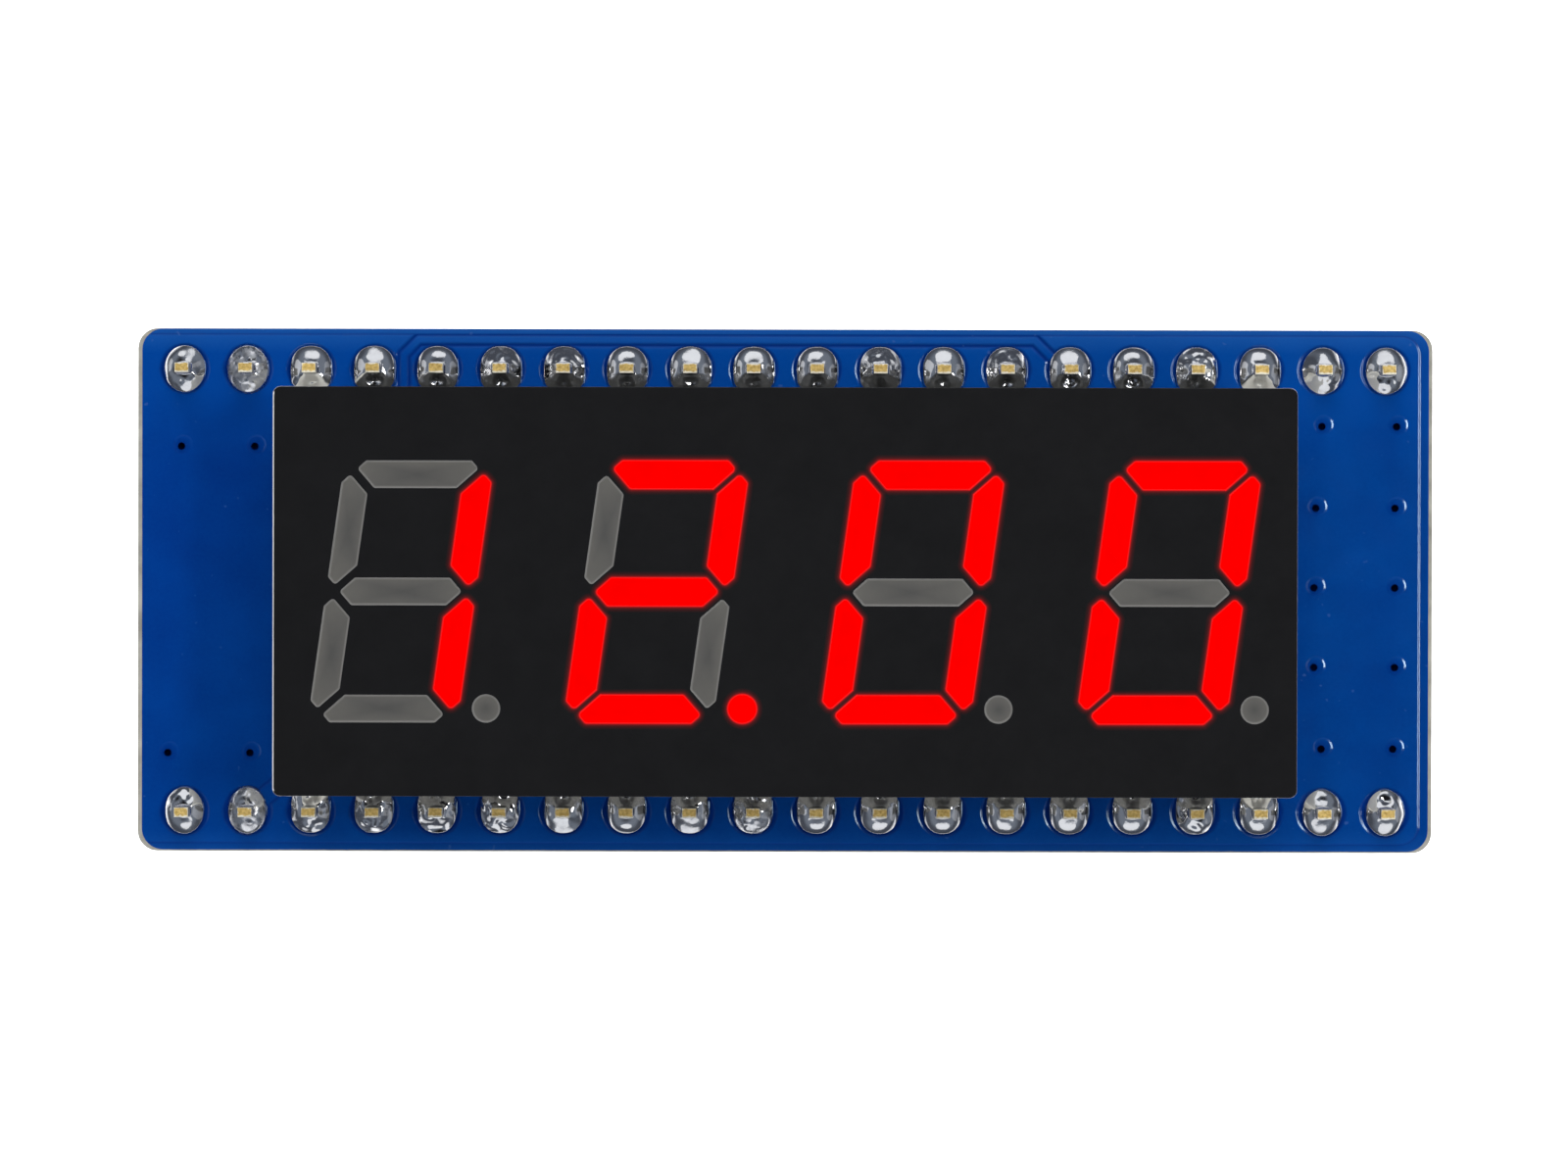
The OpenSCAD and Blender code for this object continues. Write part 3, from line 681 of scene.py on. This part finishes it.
class Joint:
    """Look of one joint: lean of its dome, lumps, dull patches, a blow hole and how much it is a cone."""

    def __init__(self, lean=(0.0, 0.0), lump=0.012, frost=0.05, hole=0.1, swirl=2.0, cone=0.0):
        self.lean, self.lump, self.frost = lean, lump, frost
        self.hole, self.swirl, self.cone = hole, swirl, cone


SMOOTH = Joint()
UPPER_JOINTS = {
    0: Joint((0.1, 0.0), 0.03, 0.15, 0.0, 1.7),
    1: Joint((0.0, 0.0), 0.04, 1.0, 0.0, 5),
    3: Joint((0.0, 0.02), 0.02, 0.1, 0.2),
    4: Joint((0.0, 0.0), 0.015, 0.1, 0.2),
    5: Joint((0.0, 0.0), 0.025, 0.2, 0.2, 5, 1.0),
    6: Joint((0.02, 0.0), 0.025, 0.1, 0.1, 5, 1.0),
    11: Joint((-0.02, 0.0), 0.03, 0.2, 0.0, 5, 1.0),
    13: Joint((-0.02, 0.0), 0.025, 0.1, 0.2, 5, 0.9),
    14: Joint((0.0, 0.0), 0.02, 0.1, 0.3),
    15: Joint((0.0, 0.0), 0.02, 0.1, 0.3),
    16: Joint((-0.05, 0.04), 0.06, 0.1, 0.1, 4, 0.4),
    18: Joint((-0.08, 0.0), 0.02, 0.05, 0.0, 2, 0.6),
    19: Joint((0.0, 0.0), 0.015, 0.15, 0.0),
}
LOWER_JOINTS = {
    0: Joint((0.03, 0.0), 0.02, 0.1, 0.0, 1.6),
    1: Joint((0.0, 0.0), 0.03, 0.7, 0.0, 4),
    2: Joint((0.0, -0.05), 0.05, 0.1, swirl=3),
    3: Joint((0.0, -0.08), 0.06, 0.3, swirl=4),
    4: Joint((0.0, -0.12), 0.06, 0.1, swirl=3),
    5: Joint((0.0, -0.12), 0.07, 0.2, swirl=4),
    6: Joint((0.0, -0.06), 0.03, 0.2),
    8: Joint((0.0, -0.05), 0.04, 0.3),
    9: Joint((0.0, 0.0), 0.05, 0.7, swirl=4),
    16: Joint((-0.2, 0.0), 0.06, 0.2, swirl=3),
    18: Joint((0.0, 0.0), 0.015, 0.2, 0.05),
    19: Joint((0.0, 0.0), 0.02, 0.1, 0.1),
}


def dome_slope(s, cone):
    """Slope of a joint's dome in degrees, where s goes from 0 at its tail to 1 at its rim."""
    dome = DOME_TOP + DOME_RISE * s ** DOME_POWER
    straight = CONE_SLOPE + CONE_RISE * s - CONE_TIP * max(0.0, 1 - s / CONE_TIP_S)
    return dome + (straight - dome) * cone + RIM_RISE * eased((s - CREASE) / RIM_S)


def dome_heights(cone):
    """Height of a joint's dome at each ring, for a run of one."""
    heights = [0.0]
    for outer, inner in zip(RINGS, RINGS[1:]):
        slope = math.radians(dome_slope((outer + inner) / 2, cone))
        heights.append(heights[-1] + math.tan(slope) * (outer - inner))
    return heights


def reach(c, n, half_l, half_w, power):
    """Distance to a rounded outline in the direction (c, n); power 2 is an ellipse."""
    return (abs(c / half_l) ** power + abs(n / half_w) ** power) ** (-1 / power)


def add_joint(shape, x, y, row, look, seed):
    """Joint round a tail: rings from its rim up to the tail, blunt towards the display."""
    dice = random.Random(seed)
    side = 1 if y > 0 else -1
    waves = []
    for k in WAVES:
        waves.append((k, dice.uniform(0.4, 1.0) * look.lump / k ** 0.5, dice.uniform(0, 2 * math.pi)))
    squeeze = 1 + dice.uniform(-SQUEEZE, SQUEEZE)
    half_l = JOINT_W[row] / 2 * squeeze
    outwards, inwards = (JOINT_OUT[row], ROUND), (JOINT_IN, BLUNT)
    if abs(x) > DISPLAY_L / 2 + half_l:
        outwards, inwards = (END_OUT, 2), (END_IN, 2)
    lean_x, lean_y = [lean + dice.uniform(-LEAN, LEAN) for lean in look.lean]
    rings = []
    for s, height in zip(RINGS, dome_heights(look.cone)):
        free = 4 * s * (1 - s)
        ring = []
        for i in range(SPOKES):
            a = 2 * math.pi * i / SPOKES
            c, n = math.cos(a), math.sin(a)
            foot = reach(c, n, half_l, *(outwards if side * n > 0 else inwards))
            tail = reach(c, n, TAIL_HALF_L, TAIL_HALF_W, TAIL_POWER)
            r = tail + (foot - tail) * s
            dx, dy = r * c, r * n
            z = DOME_RUN * height + WICK_H * max(0, 1 - s / WICK_S) ** 2
            z -= (lean_x * dx + lean_y * dy) * free
            z += free * sum(w * math.cos(k * a + turn) for k, w, turn in waves)
            z += free * look.lump * noise.noise(Vector((dx, dy, 0)) * look.swirl + Vector((seed, 0, 0)))
            streak = STREAK * noise.noise(Vector((dx * STREAK_X, dy * STREAK_Y, seed)))
            z += free * streak * eased(-side * dy / INNER_FADE)
            z -= look.hole * math.exp(-(dx ** 2 / HOLE_X2 + (dy + side * HOLE_AT) ** 2 / HOLE_Y2))
            ring.append(shape.vertex(x + dx, y + dy, Z_FRONT - COPPER_T + max(0, z), frost=look.frost))
        rings.append(ring)
    for low, high in zip(rings, rings[1:]):
        shape.band(low, high)
    shape.face(rings[-1])
    shape.face(reversed(rings[0]))


for row, side, looks in (("upper", 1, UPPER_JOINTS), ("lower", -1, LOWER_JOINTS)):
    shape = Shape()
    for i in range(WAYS):
        add_joint(shape, way_x(i), side * ROW_Y, row, looks.get(i, SMOOTH), 100 * (side + 2) + i)
    shape.build(row + "_joint_domes", [SOLDER], "solder", [row + "_solder_joints"], smooth=True)


# Display: housing with its printed face, and the bars and points in its windows


def slanted(p):
    return (p[0] + p[1] * math.tan(SLANT), p[1])


X_OUT, Y_OUT = DIGIT_W / 2, DIGIT_H / 2
X_IN, Y_IN = X_OUT - BAR_T, Y_OUT - BAR_T
MITRE_BACK = BAR_GAP / math.sqrt(2)
SIDE_TOP, SIDE_BOTTOM = Y_IN - MITRE_BACK, BAR_T / 2 + BAR_GAP * math.sqrt(2)
END_X = X_IN - MITRE_BACK
TOP_HALF = [
    (END_X, Y_IN), (END_X + BAR_T - BAR_BLUNT, Y_OUT - BAR_BLUNT), (END_X + BAR_T - 2 * BAR_BLUNT, Y_OUT),
]
TOP_BAR = TOP_HALF + [(-x, y) for x, y in reversed(TOP_HALF)]
MIDDLE_BAR = [(X_IN, -BAR_T / 2), (X_IN + BAR_T / 2, 0), (X_IN, BAR_T / 2)]
MIDDLE_BAR += [(-x, -y) for x, y in MIDDLE_BAR]
SIDE_BAR = [
    (X_OUT - BAR_BLUNT, SIDE_BOTTOM - BAR_T + BAR_BLUNT), (X_OUT, SIDE_BOTTOM - BAR_T + 2 * BAR_BLUNT),
    (X_OUT, SIDE_TOP + BAR_T - 2 * BAR_BLUNT), (X_OUT - BAR_BLUNT, SIDE_TOP + BAR_T - BAR_BLUNT),
    (X_IN, SIDE_TOP), (X_IN, SIDE_BOTTOM),
]


def bar_corners(segment):
    """Anticlockwise corners of a bar about the middle of its digit, and the middle of the bar."""
    across = -1 if segment in "ef" else 1
    up = -1 if segment in "cde" else 1
    if segment == "g":
        corners, middle = MIDDLE_BAR, (0, 0)
    elif segment in "ad":
        corners, middle = TOP_BAR, (0, (Y_IN + Y_OUT) / 2)
    else:
        corners, middle = SIDE_BAR, ((X_IN + X_OUT) / 2, (SIDE_BOTTOM + SIDE_TOP) / 2)
    corners = [slanted((x * across, y * up)) for x, y in corners]
    if across * up < 0:
        corners.reverse()
    return corners, slanted((middle[0] * across, middle[1] * up))


LEAST_R = 0.02
POINT = slanted((X_OUT + POINT_GAP + POINT_D / 2, POINT_D / 2 - Y_OUT))


def moved(loop, dx):
    return [(x + dx, y) for x, y in loop]


def shrunk(loop, middle, share):
    return [(middle[0] + (x - middle[0]) * share, middle[1] + (y - middle[1]) * share) for x, y in loop]


def windows():
    """Node, lit or not, middle, and the outline at a given inset of every bar and point."""
    for digit in range(1, DIGITS + 1):
        dx = (digit - (DIGITS + 1) / 2) * DIGIT_PITCH
        for segment in "abcdefg":
            corners, middle = bar_corners(segment)
            corners = moved(corners, dx)

            def outline(d, corners=corners):
                return rounded(inset(corners, d), max(LEAST_R, BAR_R - d), 4)

            lit = segment in SHOWN[digit - 1]
            yield f"digit_{digit}_segment_{segment}", lit, (middle[0] + dx, middle[1]), outline
        place = (POINT[0] + dx, POINT[1])

        def outline(d, place=place):
            return circle(*place, POINT_D / 2 - d, 32)

        yield f"digit_{digit}_point", "p" in SHOWN[digit - 1], place, outline


WINDOWS = list(windows())
LIP, SOFT_EDGE, INKED_X, INK_BLUR, BARE_EDGE, WELL_INK = 0.02, 0.06, 17.8, 0.4, 0.045, 0.6
# Ink share at the foot of each long wall, lowered as painted light from the front
UPPER_FOOT_INK_PAINTED_LIGHT, LOWER_FOOT_INK_PAINTED_LIGHT = 0.95, 0.74
GLOW_EDGE, HALO, HALO_W, HALO_BOX = 0.078, 0.16, 0.2, 0.4
GLOW_RINGS = (0.06, 0.08, 0.14, 0.26)
# Inset, depth below the face and share of the painted rim highlight at each step into a bar's top
BAR_STEPS = ((0.0, 0.015, 1.0), (0.03, 0.025, 1.0), (0.08, 0.035, 0.12))
BAR_DIP, EDGE_STEPS = 0.04, 3


def cut(loop, places):
    """Loop with extra points at these places along X on its level edges."""
    longer = []
    for i, (x0, y0) in enumerate(loop):
        x1, y1 = loop[(i + 1) % len(loop)]
        longer.append((x0, y0))
        if abs(y1 - y0) < 1e-6:
            between = [x for x in places if min(x0, x1) < x < max(x0, x1)]
            longer += [(x, y0) for x in sorted(between, reverse=x1 < x0)]
    return longer


def edge_distance(loop, x, y):
    return path_distance(x, y, loop + loop[:1])


def glow_at(x, y, loops):
    """Light that the lit bars spread over the printed face beside them."""
    glow = 0.0
    for (left, right, bottom, top), loop in loops:
        if left < x < right and bottom < y < top:
            d = edge_distance(loop, x, y)
            glow = max(glow, 1.0 if d < GLOW_EDGE else HALO * max(0.0, 1 - (d - GLOW_EDGE) / HALO_W) ** 3)
    return glow


def make_housing():
    """Shell with its printed face, windows, tapered wells and the recess at its back."""
    shape = Shape()
    corners = rectangle(-DISPLAY_L / 2, DISPLAY_L / 2, -DISPLAY_W / 2, DISPLAY_W / 2)
    breaks = [side * (INKED_X + d) for side in (-1, 1) for d in (0, INK_BLUR)]

    def side_ring(d, z, top):
        loop = cut(rounded(inset(corners, d), DISPLAY_R, 6), breaks)
        ring = []
        for x, y in loop:
            ink = 0.0
            if top and x > BARE_EDGE - DISPLAY_L / 2:
                ink = 1.0
            elif abs(x) <= INKED_X + INK_BLUR / 2:
                # Painted light: the foot of a long wall is painted paler, most on the -Y side
                foot_ink_painted_light = UPPER_FOOT_INK_PAINTED_LIGHT if y > 0 else LOWER_FOOT_INK_PAINTED_LIGHT
                ink = foot_ink_painted_light if z == Z_FRONT else 1.0
            ring.append(shape.vertex(x, y, z, ink=ink))
        return loop, ring

    foot_loop, foot = side_ring(0, Z_FRONT, False)
    rings = [foot]
    for k in range(EDGE_STEPS + 1):
        a = math.pi / 2 * k / EDGE_STEPS
        loop, ring = side_ring(SOFT_EDGE * (1 - math.cos(a)), Z_FACE - SOFT_EDGE * (1 - math.sin(a)), k > 0)
        rings.append(ring)
    for low, high in zip(rings, rings[1:]):
        shape.band(low, high, 1 if low is foot else 0)
    mouths = [outline(-LIP) for _, _, _, outline in WINDOWS]
    lit = [outline for _, on, _, outline in WINDOWS if on]
    spread = [outline(-LIP - d) for outline in lit for d in GLOW_RINGS]
    glowing = [(box_of(outline(-HALO_BOX)), outline(0)) for outline in lit]

    def sheet(loops, keep, z, up, face=False):
        points, faces = fill(loops, keep)
        first = len(shape.points)
        for p in points:
            ink, glow = (1.0, glow_at(p.x, p.y, glowing)) if face else (0.0, 0.0)
            shape.vertex(p.x, p.y, z, ink=ink, glow=glow)
        for corner_ids in faces:
            shape.face([first + i for i in (corner_ids if up else reversed(corner_ids))])

    boxes = [box_of(mouth) for mouth in mouths]

    def in_window(x, y, loops):
        return any(b[0] <= x <= b[1] and b[2] <= y <= b[3] and inside(m, x, y) for b, m in zip(boxes, loops))

    def on_face(x, y):
        return inside(loop, x, y) and not in_window(x, y, mouths)

    sheet([loop] + mouths + spread, on_face, Z_FACE, True, True)
    feet = []
    for (_, on, middle, outline), mouth in zip(WINDOWS, mouths):
        wall = outline(0)
        foot_of_well = shrunk(wall, middle, WELL_SHARE)
        feet.append(foot_of_well)
        shine = 1.0 if on else 0.0
        well_ink = WELL_INK + (1 - WELL_INK) * shine
        rings = [
            shape.ring(foot_of_well, Z_DIES),
            shape.ring(wall, Z_FACE - LIP, ink=well_ink, glow=shine),
            shape.ring(mouth, Z_FACE, ink=1.0, glow=shine),
        ]
        for low, high in zip(rings, rings[1:]):
            shape.band(high, low)
    recess_x, recess_y = DISPLAY_L / 2 - WALL, DISPLAY_W / 2 - WALL
    recess = rectangle(-recess_x, recess_x, -recess_y, recess_y)
    sheet([recess] + feet, lambda x, y: inside(recess, x, y) and not in_window(x, y, feet), Z_DIES, False)
    shape.band(shape.ring(recess, Z_DIES), shape.ring(recess, Z_FRONT))

    def on_foot(x, y):
        return inside(foot_loop, x, y) and not inside(recess, x, y)

    sheet([foot_loop, recess], on_foot, Z_FRONT, False)
    shape.build("display_shell", [HOUSING, WALL_PRINT], "housing_plastic", ["display_housing"])


def make_bar(node, lit, middle, outline):
    """Bar or point that fills its well and dips a little in its window."""
    shape = Shape()
    wall = outline(0)
    farthest = max(math.hypot(x - middle[0], y - middle[1]) for x, y in wall)

    def ring(loop, z, rim):
        fades = [min(1.0, (math.hypot(x - middle[0], y - middle[1]) / farthest) ** 2) for x, y in loop]
        return [shape.vertex(x, y, z, rim=rim, fade=fade) for (x, y), fade in zip(loop, fades)]

    rings = [ring(shrunk(wall, middle, WELL_SHARE), Z_DIES, 0.0)]
    # The outer steps carry the painted rim highlight
    rings += [ring(outline(d), Z_FACE - depth, rim) for d, depth, rim in BAR_STEPS]
    for low, high in zip(rings, rings[1:]):
        shape.band(low, high)
    top = shape.vertex(*middle, Z_FACE - BAR_DIP, rim=0.0, fade=0.0)
    for i, corner in enumerate(rings[-1]):
        shape.face((rings[-1][i - 1], corner, top))
    shape.face(reversed(rings[0]))
    material, slot = (LIT_BAR, "segment_lit") if lit else (DARK_BAR, "segment_dark")
    shape.build(node + "_lens", [material], slot, [node])


make_housing()
for window in WINDOWS:
    make_bar(*window)


# Solder on the back: pin joints, and fillets at the feet of the small parts


MOUND_RINGS, MOUND_SPOKES, FILLET_SINK = 9, 24, 0.01
MOUND_POWER, MOUND_FLANK, MOUND_CROWN, MOUND_WAVE = 2.6, 2.2, 0.6, 0.08
# Half length, half width and height of the fillets, and how far from the middle line they are
LEAD_FILLET, LEAD_FILLET_Y = (0.3, 0.62, 0.16), 2.75
CAPACITOR_FILLET, CAPACITOR_FILLET_Y = (0.68, 0.34, 0.3), 1.0
RESISTOR_FILLET, RESISTOR_FILLET_Y = (0.44, 0.3, 0.2), 0.82


def add_mound(shape, x, y, half_l, half_w, height, seed):
    """Rounded mound of solder that hangs from the back of the board."""
    dice = random.Random(seed)
    turn = dice.uniform(0, 2 * math.pi)
    rings = []
    for j in range(MOUND_RINGS):
        s = 1 - j / MOUND_RINGS
        ring = []
        for i in range(MOUND_SPOKES):
            a = 2 * math.pi * i / MOUND_SPOKES
            c, n = math.cos(a), math.sin(a)
            px = x + half_l * s * math.copysign(abs(c) ** (2 / MOUND_POWER), c)
            py = y + half_w * s * math.copysign(abs(n) ** (2 / MOUND_POWER), n)
            drop = height * (1 - s ** MOUND_FLANK) ** MOUND_CROWN * (1 + MOUND_WAVE * math.cos(2 * a + turn))
            ring.append(shape.vertex(px, py, Z_BACK + FILLET_SINK - drop, frost=0.2))
        rings.append(ring)
    for low, high in zip(rings, rings[1:]):
        shape.band(high, low)
    shape.face(reversed(rings[-1]))
    shape.face(rings[0])


def make_back_solder():
    """Fillets at the leads of the chips and the ends of the small parts."""
    shape = Shape()
    for end in (-1, 1):
        for side in (-1, 1):
            for i in range(CHIP_LEADS):
                x = lead_x(end, i)
                add_mound(shape, x, side * LEAD_FILLET_Y, *LEAD_FILLET, i)
            add_mound(shape, end * CAPACITOR_X, side * CAPACITOR_FILLET_Y, *CAPACITOR_FILLET, side)
    for i in range(RESISTORS):
        for side in (-1, 1):
            x = resistor_x(i)
            add_mound(shape, x, side * RESISTOR_FILLET_Y, *RESISTOR_FILLET, 20 + i)
    shape.build("back_fillets", [SOLDER], "solder", [], smooth=True)


PIN_JOINT_R, PIN_JOINT_H, PIN_R, PIN_COLLAR, HOLLOW, PIN_WAVE = 0.84, 0.85, 0.25, 0.06, 2.1, 0.05


def make_pin_joints():
    """Hollow-sided joints that climb the display's pins."""
    shape = Shape()
    steps, spokes = 12, 32
    for i in range(ROW_PINS):
        for side in (-1, 1):
            dice = random.Random(300 + 10 * i + side)
            x, y = pin_x(i), side * PIN_Y
            turn, wave = dice.uniform(0, 2 * math.pi), dice.uniform(0.0, PIN_WAVE)
            rings = []
            for j in range(steps + 1):
                t = j / steps
                r = PIN_R + PIN_COLLAR + (PIN_JOINT_R - PIN_R - PIN_COLLAR) * (1 - t) ** HOLLOW
                loop = []
                for k in range(spokes):
                    a = 2 * math.pi * k / spokes
                    near = r * (1 - wave * 4 * t * (1 - t) * (1 + math.cos(2 * a + turn)))
                    loop.append((x + near * math.cos(a), y + near * math.sin(a)))
                rings.append(shape.ring(loop, Z_BACK - PIN_JOINT_H * t, frost=0.1))
            for low, high in zip(rings, rings[1:]):
                shape.band(high, low)
            shape.face(reversed(rings[-1]))
            shape.face(rings[0])
    shape.build("pin_joint_fillets", [SOLDER], "solder", ["display_pin_joints"], smooth=True)


make_back_solder()
make_pin_joints()


# CAD pieces that keep their shape


WELD, SHARP = 1e-6, math.radians(40)


def dress(node, material, soft=0.0):
    """Material for a CAD node, and edges broken by a small bevel where soft is not zero."""
    piece = nodes[node]
    piece.data.materials.clear()
    piece.data.materials.append(material)
    if soft:
        weld = piece.modifiers.new("weld", "WELD")
        weld.merge_threshold = WELD
        bevel = piece.modifiers.new("edges", "BEVEL")
        bevel.width = soft * MM
        bevel.segments = 2
        bevel.limit_method = "ANGLE"
        bevel.angle_limit = SHARP


for row in ("upper", "lower"):
    dress(row + "_socket_body", SOCKET, 0.08)
    dress(row + "_socket_contacts", BRASS, 0.035)
for chip in ("1", "2"):
    dress(f"driver_chip_{chip}_body", RESIN, 0.06)
    dress(f"driver_chip_{chip}_leads", TINNED, 0.03)
dress("resistor_bodies", GLAZE, 0.03)
dress("resistor_caps", TINNED, 0.03)
dress("capacitor_bodies", CERAMIC, 0.05)
dress("capacitor_caps", TINNED, 0.04)
dress("display_pins", TINNED)
dress("display_potting", POTTING)
dress("led_carrier", LAMINATE)
for digit in range(1, DIGITS + 1):
    dress(f"digit_{digit}_leds", DIE)


# Floor, light and camera


FLOOR_HALF, FLOOR_GLOW, LIGHT_AWAY = 2, 0.85, 0.5


def make_floor():
    """Pale floor that keeps the shadow and looks white to the camera."""
    p = Paint("floor", Roughness=0.9)
    p.into("Base Color", p.mix(p.spread(p.noise(40, 3)), srgb(250, 250, 250), srgb(253, 253, 253)))
    seen = p.add("ShaderNodeLightPath")
    plain = p.math("MAXIMUM", seen.outputs["Is Camera Ray"], seen.outputs["Is Glossy Ray"])
    plain = p.math("MAXIMUM", plain, seen.outputs["Is Transmission Ray"])
    glow = p.add("ShaderNodeEmission", [(1, 1, 1, 1), FLOOR_GLOW])
    both = p.add("ShaderNodeAddShader", [glow.outputs[0], p.shader.outputs[0]])
    final = p.add("ShaderNodeMixShader", [plain, p.shader.outputs[0], both.outputs[0]])
    p.tree.links.new(final.outputs[0], p.tree.nodes["Material Output"].inputs["Surface"])
    mesh = bpy.data.meshes.new("floor")
    corners = [(x * FLOOR_HALF, y * FLOOR_HALF, 0) for x, y in ((-1, -1), (1, -1), (1, 1), (-1, 1))]
    mesh.from_pydata(corners, [], [(0, 1, 2, 3)])
    mesh.materials.append(p.material)
    floor = bpy.data.objects.new("floor", mesh)
    bpy.context.scene.collection.objects.link(floor)


def make_light(name, azimuth, elevation, width, height, level, shape="ELLIPSE", mirrored=True):
    """Soft panel half a metre from the part; azimuth 0 is +X, 90 is +Y, and level 1 mirrors as white."""
    a, e = math.radians(azimuth), math.radians(elevation)
    away = Vector((math.cos(a) * math.cos(e), math.sin(a) * math.cos(e), math.sin(e)))
    lamp = bpy.data.lights.new(name, "AREA")
    lamp.shape, lamp.size, lamp.size_y = shape, width, height
    lamp.energy = level * math.pi * width * height
    holder = bpy.data.objects.new(name, lamp)
    holder.location = Vector((0, 0, Z_FRONT * MM)) + away * LIGHT_AWAY
    holder.rotation_euler = (-away).to_track_quat("-Z", "Y").to_euler()
    holder.visible_glossy = mirrored
    bpy.context.scene.collection.objects.link(holder)


PALE, LOW = (0.8, 0.82, 0.86, 1), (0.085, 0.095, 0.12, 1)
SKY, DARK = (0.22, 0.25, 0.305, 1), (0.012, 0.012, 0.014, 1)


def make_world():
    """Sky that is pale at the horizon and dark overhead."""
    world = bpy.data.worlds.new("studio")
    world.use_nodes = True
    tree = world.node_tree
    place = tree.nodes.new("ShaderNodeTexCoord")
    split = tree.nodes.new("ShaderNodeSeparateXYZ")
    ramp = tree.nodes.new("ShaderNodeValToRGB")
    tree.links.new(place.outputs["Generated"], split.inputs[0])
    tree.links.new(split.outputs["Z"], ramp.inputs["Fac"])
    stops = ((0.0, PALE), (0.1, PALE), (0.14, LOW), (0.34, LOW), (0.55, SKY), (0.75, SKY), (0.95, DARK))
    for _ in stops[2:]:
        ramp.color_ramp.elements.new(0.5)
    for element, (position, colour) in zip(ramp.color_ramp.elements, stops):
        element.position, element.color = position, colour
    tree.links.new(ramp.outputs["Color"], tree.nodes["Background"].inputs["Color"])
    bpy.context.scene.world = world


CAMERA_AT, CAMERA_AIM = (0.0, 2.0, Z_FRONT + 240), (-0.04, 0.11, Z_FRONT)
SENSOR, LENS, ROLL = 36.0, 137.1, math.radians(0.12)


def make_camera():
    """Camera almost straight above, so that the board's middle falls where the photograph has it."""
    stand, aim = Vector(CAMERA_AT) * MM, Vector(CAMERA_AIM) * MM
    data = bpy.data.cameras.new("camera")
    data.sensor_width, data.lens = SENSOR, LENS
    data.clip_start, data.clip_end = 0.01, 20
    camera = bpy.data.objects.new("camera", data)
    camera.location = stand
    camera.rotation_mode = "QUATERNION"
    back = (stand - aim).normalized()
    across = Vector((0, 1, 0)).cross(back).normalized()
    level = Matrix((across, back.cross(across), back)).transposed()
    camera.rotation_quaternion = level.to_quaternion() @ Quaternion((0, 0, 1), ROLL)
    bpy.context.scene.collection.objects.link(camera)
    bpy.context.scene.camera = camera


make_floor()
make_light("above", 90, 41.5, 0.4, 0.23, 0.74)
make_light("right", 8, 62, 0.15, 0.07, 20, "RECTANGLE")
make_light("below", 270, 36, 0.38, 0.2, 0.72)
make_light("side", 168, 28, 0.3, 0.22, 0.42)
make_light("rear", 352, 26, 0.4, 0.26, 0.16)
make_light("key", 88, 55, 0.45, 0.45, 1.65, mirrored=False)
make_light("north", 90, 24, 0.4, 0.25, 3.2, mirrored=False)
make_light("left", 195, 50, 0.34, 0.34, 0.7, mirrored=False)
make_light("front", 270, 7, 0.4, 0.11, 11, mirrored=False)
make_world()
make_camera()
bpy.context.scene.view_settings.view_transform = "Standard"
